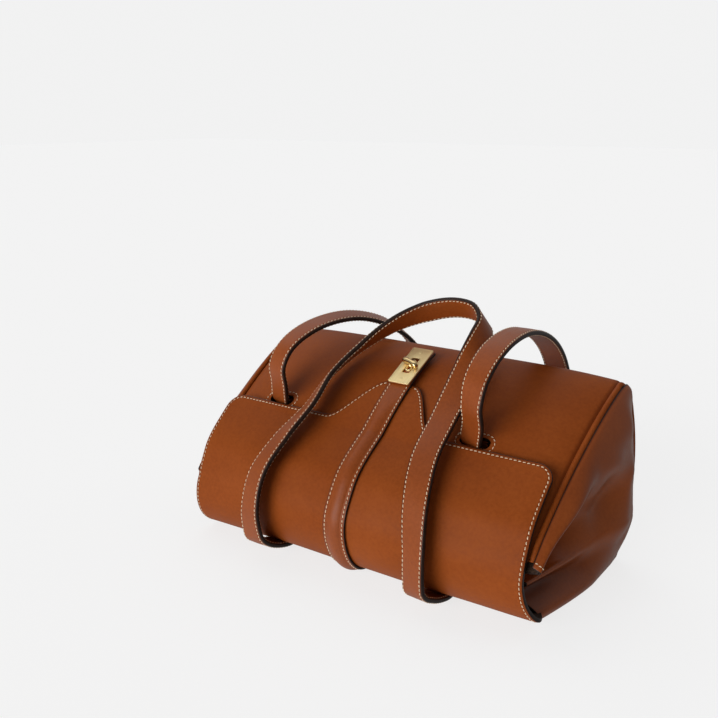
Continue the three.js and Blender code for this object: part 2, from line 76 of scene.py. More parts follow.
# Centripetal curves through rows of points: a cubic on each span, whose end slopes follow its
# neighbours
def spanCurve(points, perSpan):
    p = np.asarray(points, float)
    before = 2 * p[..., :1, :] - p[..., 1:2, :]
    beyond = 2 * p[..., -1:, :] - p[..., -2:-1, :]
    p = np.concatenate([before, p, beyond], -2)
    gaps = np.sqrt(np.linalg.norm(np.diff(p, axis=-2), axis=-1))[..., None]
    a, b, c, d = p[..., :-3, :], p[..., 1:-2, :], p[..., 2:-1, :], p[..., 3:, :]
    ga, gb, gc = gaps[..., :-2, :], gaps[..., 1:-1, :], gaps[..., 2:, :]
    startSlope = ((b - a) / ga - (c - a) / (ga + gb) + (c - b) / gb) * gb
    endSlope = ((c - b) / gb - (d - b) / (gb + gc) + (d - c) / gc) * gb
    t = np.linspace(0, 1, perSpan, endpoint=False)[:, None]
    b, c, startSlope, endSlope = (v[..., None, :] for v in (b, c, startSlope, endSlope))
    dense = (
        (2 * t**3 - 3 * t**2 + 1) * b
        + (t**3 - 2 * t**2 + t) * startSlope
        + (3 * t**2 - 2 * t**3) * c
        + (t**3 - t**2) * endSlope
    )
    dense = dense.reshape(*dense.shape[:-3], -1, 3)
    return np.concatenate([dense, p[..., -2:-1, :]], -2)


# One curve at even steps of length, and how far along the list of points each step is
def curveThrough(points, step):
    dense = spanCurve(points, 60)
    index = np.linspace(0, len(points) - 1, len(dense))
    run = runLength(dense)
    count = max(2, int(round(run[-1] / step)) + 1)
    at = np.linspace(0, run[-1], count)
    return sampleAt(dense, run, at), np.interp(at, run, index)


# Length run along a line up to each of its points
def runLength(points):
    return np.concatenate([[0], np.cumsum(np.linalg.norm(np.diff(points, axis=0), axis=1))])


def sampleAt(values, run, at):
    return np.stack([np.interp(at, run, values[:, k]) for k in range(values.shape[1])], -1)


# Quads of a grid of rows and columns, either of which may close on itself
def gridQuads(rows, columns, closeRows=False, closeColumns=False, start=0):
    i = np.arange(rows if closeRows else rows - 1)[:, None]
    j = np.arange(columns if closeColumns else columns - 1)[None, :]
    i2, j2 = (i + 1) % rows, (j + 1) % columns
    corners = (i * columns + j, i2 * columns + j, i2 * columns + j2, i * columns + j2)
    return np.stack([np.broadcast_to(c, (i.size, j.size)) for c in corners], -1).reshape(-1, 4) + start


# A mesh at the origin from points in millimetres, smooth, darkened per point by pressing and painted shade
def addMesh(name, points, quads, materials, faceMaterial=None, pressAndShade=None, extraFaces=()):
    mesh = bpy.data.meshes.new(name)
    faces = [list(map(int, q)) for q in quads] + [list(map(int, f)) for f in extraFaces]
    mesh.from_pydata((np.asarray(points, float).reshape(-1, 3) * mm).tolist(), [], faces)
    for m in materials:
        mesh.materials.append(m)
    if faceMaterial is not None:
        full = np.zeros(len(mesh.polygons), np.int32)
        full[: len(faceMaterial)] = faceMaterial
        mesh.polygons.foreach_set("material_index", full)
    mesh.polygons.foreach_set("use_smooth", np.ones(len(mesh.polygons), bool))
    if pressAndShade is not None:
        shade = mesh.attributes.new("pressAndShade", "FLOAT", "POINT")
        shade.data.foreach_set("value", np.ravel(pressAndShade).astype(np.float32))
    mesh.update()
    piece = bpy.data.objects.new(name, mesh)
    bpy.context.scene.collection.objects.link(piece)
    return piece


def gridNormals(grid):
    return unit(np.cross(np.gradient(grid, axis=0), np.gradient(grid, axis=1)))


# A leather sheet: the layer between two offsets from a grid, with a rounded border whose rings follow
# a half circle from the top face to the under face. Materials: top, border, under.
def sheetPiece(name, grid, top, under, materials, pressAndShade=None, bulge=0.6, normals=None):
    rows, columns = grid.shape[:2]
    n = (gridNormals(grid) if normals is None else normals).reshape(-1, 3)
    flat = grid.reshape(-1, 3)
    top = np.broadcast_to(np.asarray(top, float), (rows, columns)).reshape(-1, 1)
    under = np.broadcast_to(np.asarray(under, float), (rows, columns)).reshape(-1, 1)
    pressAndShade = np.zeros(rows * columns) if pressAndShade is None else np.ravel(pressAndShade)
    lastRow, lastColumn = rows - 1, columns - 1
    down, across = np.arange(lastRow), np.arange(lastColumn)
    i = np.concatenate([0 * across, down, lastRow + 0 * across, lastRow - down])
    j = np.concatenate([across, lastColumn + 0 * down, lastColumn - across, 0 * down])
    ring = i * columns + j
    inner = np.clip(i, 1, rows - 2) * columns + np.clip(j, 1, columns - 2)
    out = flat[ring] - flat[inner]
    out = unit(out - n[ring] * np.sum(out * n[ring], -1, keepdims=True))
    middle, half = (top + under)[ring] / 2, (top - under)[ring] / 2
    angles = np.radians([60, 30, 0, -30, -60])
    border = [flat[ring] + n[ring] * (middle + half * math.sin(a)) + out * half * bulge * math.cos(a)
              for a in angles]
    points = np.vstack([flat + n * top, flat + n * under, *border])
    count, size = rows * columns, len(ring)
    quads = gridQuads(rows, columns)
    below = quads[:, ::-1] + count
    ids = [ring] + [2 * count + k * size + np.arange(size) for k in range(len(angles))] + [ring + count]
    walls = np.vstack([np.stack([a, np.roll(a, -1), np.roll(b, -1), b], -1)
                       for a, b in zip(ids[:-1], ids[1:])])
    a, b, c = (points[walls[0][k]] for k in range(3))
    if np.dot(np.cross(b - a, c - a), out[0]) < 0:
        walls = walls[:, ::-1]
    faceMaterial = np.concatenate([np.zeros(len(quads)), np.full(len(below), 2), np.ones(len(walls))])
    shade = np.concatenate([pressAndShade, pressAndShade, *[pressAndShade[ring]] * len(angles)])
    return addMesh(name, points, np.vstack([quads, below, walls]), materials, faceMaterial, shade)


# Saddle stitches: short rounded bars of six sides laid along a line at an even pitch, turned a little
# from it, arched as a cube falls off, so that their ends sink in
def stitchRow(path, normals, pitch=3.5, length=2.5, width=0.8, rise=0.5, slant=9):
    run = runLength(path)
    count = max(1, int(round(run[-1] / pitch)))
    at = (np.arange(count) + 0.5) * run[-1] / count
    centre = sampleAt(path, run, at)
    ahead = unit(sampleAt(path, run, at + 0.6) - sampleAt(path, run, at - 0.6))
    face = unit(sampleAt(normals, run, at))
    across = unit(np.cross(face, ahead))
    turn = math.radians(slant)
    c, s = math.cos(turn), math.sin(turn)
    ahead, across = ahead * c + across * s, across * c - ahead * s
    stations = np.array([-1, -0.82, -0.4, 0.4, 0.82, 1.0])
    girth = np.array([0.35, 0.8, 1, 1, 0.8, 0.35])
    sides = 6
    each = len(stations) * sides
    angle = np.linspace(0, 2 * np.pi, sides, endpoint=False)
    x = np.repeat(stations * length / 2, sides)
    y = (girth[:, None] * np.cos(angle) * width / 2).ravel()
    arch = rise * (0.72 - 1.1 * np.abs(stations) ** 3)
    z = (arch[:, None] + girth[:, None] * np.sin(angle) * width * 0.42).ravel() - width * 0.18
    points = (
        centre[:, None]
        + ahead[:, None] * x[None, :, None]
        + across[:, None] * y[None, :, None]
        + face[:, None] * z[None, :, None]
    )
    starts = (np.arange(count) * each)[:, None, None]
    quads = (gridQuads(len(stations), sides, closeColumns=True)[None] + starts).reshape(-1, 4)
    caps = np.stack([np.arange(sides), np.arange(each - 1, each - 1 - sides, -1)])
    ends = (caps[None] + starts).reshape(-1, sides)
    return points.reshape(-1, 3), quads, ends


def stitchPiece(name, rows):
    points, quads, ends, start = [], [], [], 0
    for p, q, e in rows:
        points.append(p)
        quads.append(q + start)
        ends.append(e + start)
        start += len(p)
    piece = addMesh(name, np.vstack(points), np.vstack(quads), [thread],
                    extraFaces=np.vstack(ends)[:, ::-1])
    recalc(piece)
    return piece


# Faces turned to point outwards
def recalc(piece):
    work = bmesh.new()
    work.from_mesh(piece.data)
    bmesh.ops.recalc_face_normals(work, faces=work.faces)
    work.to_mesh(piece.data)
    work.free()


# Materials
def newMaterial(name, color, roughness, metallic=0.0):
    material = bpy.data.materials.new(name)
    material.use_nodes = True
    nodes, links = material.node_tree.nodes, material.node_tree.links
    shader = nodes["Principled BSDF"]
    shader.inputs["Base Color"].default_value = (*color, 1)
    shader.inputs["Roughness"].default_value = roughness
    shader.inputs["Metallic"].default_value = metallic
    return material, nodes, links, shader


def noiseNode(nodes, links, coords, scale, detail=3.0, roughness=0.55):
    node = nodes.new("ShaderNodeTexNoise")
    node.inputs["Scale"].default_value = scale
    node.inputs["Detail"].default_value = detail
    node.inputs["Roughness"].default_value = roughness
    links.new(coords, node.inputs["Vector"])
    return node


def rampNode(nodes, links, value, stops):
    ramp = nodes.new("ShaderNodeValToRGB")
    ramp.color_ramp.elements[0].position = stops[0][0]
    ramp.color_ramp.elements[0].color = (*stops[0][1], 1)
    ramp.color_ramp.elements[1].position = stops[-1][0]
    ramp.color_ramp.elements[1].color = (*stops[-1][1], 1)
    for place, color in stops[1:-1]:
        ramp.color_ramp.elements.new(place).color = (*color, 1)
    links.new(value, ramp.inputs["Fac"])
    return ramp


def mathNode(nodes, links, operation, a, b):
    node = nodes.new("ShaderNodeMath")
    node.operation = operation
    for socket, value in zip(node.inputs, (a, b)):
        if isinstance(value, (int, float)):
            socket.default_value = value
        else:
            links.new(value, socket)
    return node.outputs[0]


# Smooth calf leather: cloudy tan, fine pebble grain, darker where pressed by seams and under painted
# shade.
leatherSettings = {
    "deep": (0.235, 0.049, 0.0075), "middle": (0.275, 0.061, 0.0100), "light": (0.315, 0.073, 0.0130),
    "cloudScale": 14, "grainScale": 1150, "grainDepth": 0.08, "roughness": (0.4, 0.52), "pressAndShadeDark": 0.55,
    "gloss": 0.06, "speckScale": 420, "grainHeight": 0.0006,
}


def leatherMaterial(name, settings, grain=1.0):
    s = settings
    material, nodes, links, shader = newMaterial(name, s["middle"], 0.45)
    coords = nodes.new("ShaderNodeTexCoord").outputs["Object"]
    cloud = noiseNode(nodes, links, coords, s["cloudScale"], 5, 0.6)
    tones = [(0.25, s["deep"]), (0.5, s["middle"]), (0.78, s["light"])]
    tone = rampNode(nodes, links, cloud.outputs["Fac"], tones)
    fine = noiseNode(nodes, links, coords, s["speckScale"], 2)
    speck = rampNode(nodes, links, fine.outputs["Fac"], [(0.3, (0.86, 0.84, 0.82)), (0.7, (1, 1, 1))])
    tint = nodes.new("ShaderNodeMix")
    tint.data_type, tint.blend_type = "RGBA", "MULTIPLY"
    tint.inputs["Factor"].default_value = 1
    links.new(tone.outputs["Color"], tint.inputs["A"])
    links.new(speck.outputs["Color"], tint.inputs["B"])
    # Points darken from pressing beside seams and stitches, and from painted shade in folds, under the
    # gusset's ridge and beside the piping
    pressAndShade = nodes.new("ShaderNodeAttribute")
    pressAndShade.attribute_name = "pressAndShade"
    press = nodes.new("ShaderNodeMix")
    press.data_type, press.blend_type = "RGBA", "MULTIPLY"
    pressAndShadeLevel = mathNode(nodes, links, "MULTIPLY", pressAndShade.outputs["Fac"], s["pressAndShadeDark"])
    links.new(pressAndShadeLevel, press.inputs["Factor"])
    links.new(tint.outputs["Result"], press.inputs["A"])
    press.inputs["B"].default_value = (0.28, 0.2, 0.17, 1)
    links.new(press.outputs["Result"], shader.inputs["Base Color"])
    cells = nodes.new("ShaderNodeTexVoronoi")
    cells.feature = "SMOOTH_F1"
    cells.inputs["Scale"].default_value = s["grainScale"]
    links.new(coords, cells.inputs["Vector"])
    gloss = rampNode(nodes, links, fine.outputs["Fac"],
                     [(0.3, (s["roughness"][0],) * 3), (0.75, (s["roughness"][1],) * 3)])
    links.new(gloss.outputs["Color"], shader.inputs["Roughness"])
    pebbles = mathNode(nodes, links, "MULTIPLY", cells.outputs["Distance"], 0.9)
    height = mathNode(nodes, links, "SUBTRACT", fine.outputs["Fac"], pebbles)
    bump = nodes.new("ShaderNodeBump")
    bump.inputs["Strength"].default_value = s["grainDepth"] * grain
    bump.inputs["Distance"].default_value = s["grainHeight"]
    links.new(height, bump.inputs["Height"])
    links.new(bump.outputs["Normal"], shader.inputs["Normal"])
    shader.inputs["Specular IOR Level"].default_value = s["gloss"]
    return material


# Plain finish with a noise that mixes two tones and raises a slight grain
def grainyMaterial(name, low, high, scale, roughness, depth, sheen=0.0):
    material, nodes, links, shader = newMaterial(name, low, roughness)
    coords = nodes.new("ShaderNodeTexCoord").outputs["Object"]
    cloud = noiseNode(nodes, links, coords, scale, 4)
    tone = rampNode(nodes, links, cloud.outputs["Fac"], [(0.3, low), (0.7, high)])
    links.new(tone.outputs["Color"], shader.inputs["Base Color"])
    bump = nodes.new("ShaderNodeBump")
    bump.inputs["Strength"].default_value = depth
    bump.inputs["Distance"].default_value = 0.0004
    links.new(cloud.outputs["Fac"], bump.inputs["Height"])
    links.new(bump.outputs["Normal"], shader.inputs["Normal"])
    shader.inputs["Sheen Weight"].default_value = sheen
    shader.inputs["Specular IOR Level"].default_value = 0.2
    return material


leather = leatherMaterial("tanCalf", leatherSettings)
strapLeather = leatherMaterial("tanStrap", {**leatherSettings, "grainScale": 900, "gloss": 0.22,
                                            "roughness": (0.34, 0.46)}, 1.3)
# The gusset darkens strongly where its points carry painted shade, in the fold and under the ridge
gussetLeather = leatherMaterial("tanGusset", {**leatherSettings, "roughness": (0.3, 0.42), "gloss": 0.26,
                                              "pressAndShadeDark": 0.85}, 0.3)
paintedEdge = grainyMaterial("paintedEdge", (0.012, 0.006, 0.004), (0.03, 0.014, 0.009), 300, 0.42, 0.15)
suede = grainyMaterial("suedeLining", (0.034, 0.017, 0.01), (0.055, 0.029, 0.017), 700, 0.92, 0.5, 0.04)
boardPaper = grainyMaterial("boardPaper", (0.2, 0.19, 0.165), (0.27, 0.26, 0.23), 350, 0.9, 0.3)


# Waxed thread, mottled along its twist
def threadMaterial():
    material, nodes, links, shader = newMaterial("waxedThread", (0.78, 0.6, 0.41), 0.6)
    coords = nodes.new("ShaderNodeTexCoord").outputs["Object"]
    twist = noiseNode(nodes, links, coords, 1600, 2)
    tones = [(0.3, (0.60, 0.42, 0.26)), (0.65, (0.86, 0.69, 0.49))]
    tone = rampNode(nodes, links, twist.outputs["Fac"], tones)
    links.new(tone.outputs["Color"], shader.inputs["Base Color"])
    return material


# Brushed gold: a noise drawn out along the plate tints the metal and varies its roughness
def goldMaterial():
    material, nodes, links, shader = newMaterial("brushedGold", (1.0, 0.8, 0.44), 0.5, 1.0)
    coords = nodes.new("ShaderNodeTexCoord").outputs["Object"]
    spread = nodes.new("ShaderNodeMapping")
    spread.inputs["Scale"].default_value = (3000, 90, 90)
    links.new(coords, spread.inputs["Vector"])
    brush = noiseNode(nodes, links, spread.outputs["Vector"], 1.0, 3)
    tones = [(0.3, (0.96, 0.75, 0.38)), (0.7, (1.0, 0.86, 0.5))]
    tone = rampNode(nodes, links, brush.outputs["Fac"], tones)
    links.new(tone.outputs["Color"], shader.inputs["Base Color"])
    gloss = rampNode(nodes, links, brush.outputs["Fac"], [(0.3, (0.45,) * 3), (0.7, (0.6,) * 3)])
    links.new(gloss.outputs["Color"], shader.inputs["Roughness"])
    return material


thread = threadMaterial()
gold = goldMaterial()
polishedGold = newMaterial("polishedGold", (0.80, 0.60, 0.30), 0.16, 1.0)[0]
pipingLeather = leatherMaterial("tanPiping", {**leatherSettings, "cloudScale": 30})
print("materials made")

# Sizes shared by the body's surfaces, as the solids have them, in millimetres
body = {
    "seamHalf": 158.5, "baseDepth": 145, "baseY": 59, "mouthSeamY": -85, "mouthSeamZ": 54.8,
    "backMouthY": -47, "backMouthHalf": 149, "crown": 28, "seamCrown": 15, "taper": 6.5, "baseBulge": 3,
    "sideBulge": 12, "lowBulge": 4.5, "lowBulgeZ": 34, "leather": 2, "piping": 2.1, "seamGap": 0.3,
}
panelHalf = body["seamHalf"] - body["piping"] - body["seamGap"]
topY = body["baseY"] - body["leather"] / 2


def panelHalfAt(t):
    return panelHalf - body["taper"] * np.clip(t, 0, 1)


# Height of the front panel: a straight line from base to mouth plus a crown that is the square
# root of a half sine along it, and falls to the lower crown of the seams as a sixth power across.
def panelZ(x, t):
    share = 1 - np.minimum(1, np.abs(x / panelHalfAt(t))) ** 6
    rise = mix(body["seamCrown"], body["crown"], share) * np.sqrt(np.sin(np.pi * np.clip(t, 0, 1)))
    return mix(body["baseDepth"], body["mouthSeamZ"], t) + rise


# Point of the front panel at x and at a share t of the way from base to mouth
def panelPoint(x, t):
    x, t = np.broadcast_arrays(np.asarray(x, float), np.asarray(t, float))
    return np.stack([x, mix(topY, body["mouthSeamY"], t), panelZ(x, t)], -1)


def panelT(y):
    return (topY - y) / (topY - body["mouthSeamY"])


# Place on the front panel at x and y, the direction up its slope and its normal
def panelFrame(x, y):
    t = panelT(y)
    slope = unit(panelPoint(x, t - 0.01) - panelPoint(x, t + 0.01))
    return panelPoint(x, t), slope, unit(np.cross([1.0, 0, 0], slope))


# Shares from -1 to 1 that crowd towards both ends as a sine does
def evened(count):
    return np.sin(np.pi / 2 * np.linspace(-1, 1, count))


# Front panel, pressed in beside its seams and cut by the two handle slots
panelFinish = [leather, leather, suede, paintedEdge]
frontPanel = {"top": 1.0, "under": -3.2, "slots": {-1: -103.5, 1: 81.5}, "slotY": -37.0,
              "slotLength": 25, "slotWidth": 9.4, "slotSteps": 48, "cutDepth": 12, "stitchOut": 3.2,
              "press": 0.9, "pressWidth": 2.0, "shadeWidth": 2.2}
t = (1 + np.cos(np.pi * np.linspace(0, 1, 90))) / 2
x = evened(150)[:, None] * panelHalfAt(t)[None, :]
grid = panelPoint(x, np.broadcast_to(t, x.shape))
fromSeam = panelHalfAt(t)[None, :] - np.abs(x)
# Darker beside the piping: partly pressed leather, partly painted shade in the groove
pressAndShade = np.exp(-((fromSeam / frontPanel["shadeWidth"]) ** 2))
panelTop = frontPanel["top"] - frontPanel["press"] * np.exp(-((fromSeam / frontPanel["pressWidth"]) ** 2))
frontPiece = sheetPiece("frontPanel", grid, panelTop, frontPanel["under"], panelFinish, pressAndShade)


# Even points round a slot: two straights joined by half circles
def stadium(length, width, count):
    straight = length - width
    at = np.linspace(0, 2 * straight + np.pi * width, count, endpoint=False)
    r = width / 2
    arc = np.pi * r
    low = at < straight
    right = (at >= straight) & (at < straight + arc)
    high = (at >= straight + arc) & (at < 2 * straight + arc)
    left = at >= 2 * straight + arc
    p = np.zeros((count, 2))
    p[low] = np.stack([at[low] - straight / 2, np.full(low.sum(), -r)], -1)
    q = (at[right] - straight) / r - np.pi / 2
    p[right] = np.stack([straight / 2 + r * np.cos(q), r * np.sin(q)], -1)
    p[high] = np.stack([straight / 2 - (at[high] - straight - arc), np.full(high.sum(), r)], -1)
    q = (at[left] - 2 * straight - arc) / r + np.pi / 2
    p[left] = np.stack([-straight / 2 + r * np.cos(q), r * np.sin(q)], -1)
    return p


# Each slot is cut by a prism on its outline, whose walls leave painted edges in the leather
def cutSlots(piece):
    steps, depth = frontPanel["slotSteps"], frontPanel["cutDepth"]
    for side in (-1, 1):
        place, slope, normal = panelFrame(frontPanel["slots"][side], frontPanel["slotY"])
        ring = stadium(frontPanel["slotLength"], frontPanel["slotWidth"], steps)
        flat = place + ring[:, :1] * np.array([1.0, 0, 0]) + ring[:, 1:] * slope
        points = np.vstack([flat - normal * depth, flat + normal * depth])
        quads = gridQuads(2, steps, closeColumns=True)
        ends = [list(range(steps)), list(range(steps, 2 * steps))]
        tool = addMesh("slotTool", points, quads, panelFinish, extraFaces=ends)
        recalc(tool)
        tool.data.polygons.foreach_set("material_index", np.full(len(tool.data.polygons), 3, np.int32))
        knife = piece.modifiers.new("slot", "BOOLEAN")
        knife.operation = "DIFFERENCE"
        knife.solver = "EXACT"
        knife.object = tool
        depsgraph = bpy.context.evaluated_depsgraph_get()
        made = bpy.data.meshes.new_from_object(piece.evaluated_get(depsgraph))
        piece.modifiers.clear()
        piece.data = made
        bpy.data.objects.remove(tool)


cutSlots(frontPiece)
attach(frontPiece, "bag")
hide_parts("front_panel", "front_lining", "left_slot_facing", "right_slot_facing")
rows = []
for side in (-1, 1):
    place, slope, normal = panelFrame(frontPanel["slots"][side], frontPanel["slotY"])
    out = frontPanel["stitchOut"]
    ring = stadium(frontPanel["slotLength"] + 2 * out, frontPanel["slotWidth"] + 2 * out, 160)
    ring = np.vstack([ring, ring[:1]])
    px = place[0] + ring[:, 0]
    py = place[1] + ring[:, 1] * slope[1]
    path = panelPoint(px, panelT(py))
    outward = np.stack([panelFrame(a, b)[2] for a, b in zip(px, py)])
    rows.append(stitchRow(path + outward * frontPanel["top"], outward))
slotStitches = stitchPiece("slotStitches", rows)
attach(slotStitches, "bag")
print("front panel made")

# Back panel flat on the floor, and base standing at the back with a slight belly
backPanel = {"half": 156, "mouthHalf": 146.5, "rows": 40, "columns": 60, "baseGap": 1.4, "z": 1.1,
             "top": 1.0, "under": -2.2}
v = np.linspace(1, 0, backPanel["rows"])
u = evened(backPanel["columns"])
width = mix(backPanel["half"], backPanel["mouthHalf"], v)
grid = np.stack([
    width[:, None] * u[None, :],
    np.broadcast_to(mix(topY - backPanel["baseGap"], body["backMouthY"], v)[:, None], (len(v), len(u))),
    np.full((len(v), len(u)), backPanel["z"]),
], -1)
backPiece = sheetPiece("backPanel", grid, backPanel["top"], backPanel["under"], [leather, leather, suede])
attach(backPiece, "bag")
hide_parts("back_panel", "back_lining")


# How far the bag's ends bulge at a height: a half sine to the power 0.6 and a low bell curve
def endBelly(z):
    belly = body["sideBulge"] * np.sin(np.pi * np.clip(z / body["baseDepth"], 0, 1)) ** 0.6
    return belly + body["lowBulge"] * np.exp(-(((z - body["lowBulgeZ"]) / 18) ** 2))


basePanel = {"rows": 60, "columns": 110, "foot": 0.6, "bellyFoot": 0.4, "topGap": 2.4, "top": 1.0,
             "under": -1.0}
w = np.linspace(0, 1, basePanel["rows"])[:, None]
u = (evened(basePanel["columns"])[None, :] + 1) / 2
zz = mix(basePanel["foot"], body["baseDepth"] - basePanel["topGap"], w)
grid = np.stack([
    (panelHalf + endBelly(mix(basePanel["bellyFoot"], body["baseDepth"], w))) * (2 * u - 1),
    topY + body["baseBulge"] * np.sin(np.pi * u) * np.sin(np.pi * w),
    np.broadcast_to(zz, (basePanel["rows"], basePanel["columns"])),
], -1)
basePiece = sheetPiece("basePanel", grid, basePanel["top"], basePanel["under"], [leather, leather, suede])
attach(basePiece, "bag")
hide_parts("base_panel")
print("base and back made")

# Gussets: at each station from base (0) to mouth (1), a curve through eleven points from front seam to
# back seam. A shoulder rounds down from the front seam, the wall is dented and folds in towards the
# mouth, comes out again at a low ridge, tucks in under it as a pocket and meets the floor. The numbers
# that go with u say where along the gusset each form starts and how long it takes to come in.
gusset = {
    "rows": 100, "perSpan": 12, "lift": 2.5, "shoulder": 14.5, "narrow": 5.5, "soften": 3.5,
    "tuck": {-1: 6, 1: 1.5}, "swell": 14, "upperFold": -18, "valley": -42, "dent": 14, "crease": 4.0,
    "ridgeX": 174, "ridgeDrawn": (16, 13), "ridgeY": (57, -72), "ridgeZ": (39, 32), "pocket": 14,
    "floorX": 163.5, "floorDrawn": 12.5, "floorY": (57, -66), "floorZ": 7, "hemStation": 1.008,
    "top": 1.0, "under": -1.6,
}


# Front seam: a straight line from base to mouth that rises as the root of a half sine
def frontSeam(u):
    rise = body["seamCrown"] * np.sqrt(np.sin(np.pi * np.clip(u, 0, 1)))
    return np.stack([body["seamHalf"] - body["taper"] * u, mix(body["baseY"] - 2, body["mouthSeamY"], u),
                     mix(body["baseDepth"], body["mouthSeamZ"], u) + rise], -1)


def backSeam(u):
    return np.stack([mix(body["seamHalf"], body["backMouthHalf"], u),
                     mix(body["baseY"] - 2, body["backMouthY"], u), np.full_like(u, gusset["lift"])], -1)


def gussetControls(u, tuck):
    g = gusset
    steady = np.minimum(u, 0.96)  # past here the front seam runs on straight
    seamEnd, before = frontSeam(steady), frontSeam(steady - 0.02)
    xf, yf, zf = (seamEnd + (seamEnd - before) * ((u - steady) / 0.02)[:, None]).T
    xb, yb, zb = backSeam(np.minimum(u, 1)).T
    tall = zf - zb
    near = smooth(u / 0.14)
    late = np.maximum(0, (u - 0.42) / 0.58)
    fold = smooth((u - 0.4) / 0.6)
    dent = g["dent"] * smooth((u - 0.02) / 0.33) * (1 - 0.35 * fold)
    tucked = tuck * smooth((u - 0.65) / 0.35)
    soft = g["soften"] * np.sin(np.pi * np.clip((u - 0.12) / 0.7, 0, 1)) ** 2

    # x that starts from the bellied end of the base and is free of it a short way on
    def outFrom(z, x):
        return mix(body["seamHalf"] + endBelly(np.minimum(z, body["baseDepth"])), x, near)

    ridgeY, floorY = mix(*g["ridgeY"], u), mix(*g["floorY"], u)
    shoulderZ = zf - mix(24, 4, u**1.5)
    upperZ = zf - mix(0.34, 0.24, u) * tall
    valleyZ = zf - 0.52 * tall
    ridgeZ = mix(*g["ridgeZ"], smooth((u - 0.25) / 0.3))
    floorZ = g["floorZ"] + 0 * u
    pocketZ = mix(ridgeZ, floorZ, 0.5)
    shoulder = g["shoulder"] - g["narrow"] * smooth((u - 0.6) / 0.4) - tucked - soft
    shoulderX = outFrom(shoulderZ, xf + shoulder)
    upperX = outFrom(upperZ, xf + mix(g["swell"], g["upperFold"], fold) - 0.25 * dent)
    valleyX = outFrom(valleyZ, xf + mix(g["swell"], g["valley"], fold) - dent)
    early, drawn = g["ridgeDrawn"]
    ridgeX = outFrom(ridgeZ, g["ridgeX"] - early * smooth((u - 0.08) / 0.45) - drawn * late**1.3)
    floorX = outFrom(floorZ, g["floorX"] - g["floorDrawn"] * late**1.4)
    pocket = g["pocket"] * smooth((u - 0.15) / 0.7)
    pocketX = outFrom(pocketZ, mix(ridgeX, floorX, 0.6) - pocket)
    points = [
        (xf + 2.3, yf, zf - 0.9),
        (xf + 5.1 - 0.4 * tucked, yf, zf - mix(4, 1.7, u)),
        (shoulderX, yf, shoulderZ),
        (upperX, mix(yf, ridgeY, 0.3), upperZ),
        (valleyX, mix(yf, ridgeY, 0.55), valleyZ),
        (mix(ridgeX, valleyX, 0.14), mix(ridgeY, yf, 0.06), mix(ridgeZ, valleyZ, 0.16)),
        (ridgeX, ridgeY, ridgeZ),
        (pocketX, mix(ridgeY, floorY, 0.6), pocketZ),
        (floorX + 0.8, floorY, floorZ),
        (floorX - 0.8, floorY, 0 * u + 1.5),
        (xb + 2.6, mix(yb, floorY, 0.15), 0 * u + 2.3),
    ]
    return np.stack([np.stack(q, -1) for q in points], 1)


# A slanting crease is pressed out of the wall near the base. Painted shade darkens the leather in the fold
# near the mouth, and painted shadow darkens it under the ridge; beside the seam it is darker from pressing
# and painted groove shade. The hem's stitches run from the front seam past the shoulder.
u = mix(0.003, 1.025, np.linspace(0, 1, gusset["rows"]))
creased = gusset["crease"] * smooth(u / 0.1) * (1 - smooth((u - 0.25) / 0.25))
station = np.full(1, gusset["hemStation"])
hemPart = slice(6, 84)
hemRows = []
for side, name in ((-1, "left"), (1, "right")):
    mirror = np.array([side, 1, 1])
    tuck = gusset["tuck"][side]
    grid = spanCurve(gussetControls(u, tuck), gusset["perSpan"]) * mirror
    v = np.linspace(0, 1, grid.shape[1])[None, :]
    astray = (v - 0.39 + 0.38 * u[:, None]) / 0.05
    grid[..., 0] += side * creased[:, None] * np.exp(-(astray**2))
    # Darker at the front seam: partly pressed leather, partly painted shade in the groove beside the
    # piping
    inSeam = np.exp(-((v / 0.025) ** 2))
    # Painted shade in the fold near the mouth and painted shadow under the ridge
    paintedFoldShade = 0.6 * np.exp(-(((v - 0.4) / 0.09) ** 2)) * smooth((u - 0.7) / 0.25)[:, None]
    paintedRidgeShadow = 0.9 * np.exp(-(((v - 0.7) / 0.06) ** 2)) * smooth((u - 0.1) / 0.8)[:, None]
    pressAndShade = np.maximum(inSeam, np.maximum(paintedRidgeShadow, paintedFoldShade))
    if side < 0:
        grid, pressAndShade = grid[:, ::-1], pressAndShade[:, ::-1]
    piece = sheetPiece(name + "Gusset", grid, gusset["top"], gusset["under"],
                       [gussetLeather, paintedEdge, suede], pressAndShade)
    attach(piece, "bag")
    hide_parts(name + "_gusset", name + "_gusset_lining")
    path = spanCurve(gussetControls(station, tuck), 40)[0][hemPart]
    behind = spanCurve(gussetControls(station - 0.01, tuck), 40)[0][hemPart]
    outward = unit(np.cross(path - behind, np.gradient(path, axis=0)))
    hemRows.append(stitchRow((path + outward) * mirror, outward * mirror, pitch=3.0, length=2.1))
hemStitches = stitchPiece("hemStitches", hemRows)
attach(hemStitches, "bag")


# Piping: a circle carried along the front seam, the bellied end of the base and the back seam
piping = {"around": 14, "step": 1.5, "tuck": 1.8}


def tubePiece(name, path, radius, material):
    around = piping["around"]
    ahead = unit(np.gradient(path, axis=0))
    first = unit(np.cross(ahead, np.array([1.0, 0.15, 0.1])))
    second = np.cross(ahead, first)
    angle = np.linspace(0, 2 * np.pi, around, endpoint=False)
    ring = first[:, None] * np.cos(angle)[None, :, None] + second[:, None] * np.sin(angle)[None, :, None]
    points = path[:, None] + ring * radius
    count = len(path)
    caps = [list(range(around)), list(range((count - 1) * around, count * around))]
    quads = gridQuads(count, around, closeColumns=True)
    piece = addMesh(name, points, quads, [material], extraFaces=caps)
    recalc(piece)
    return piece


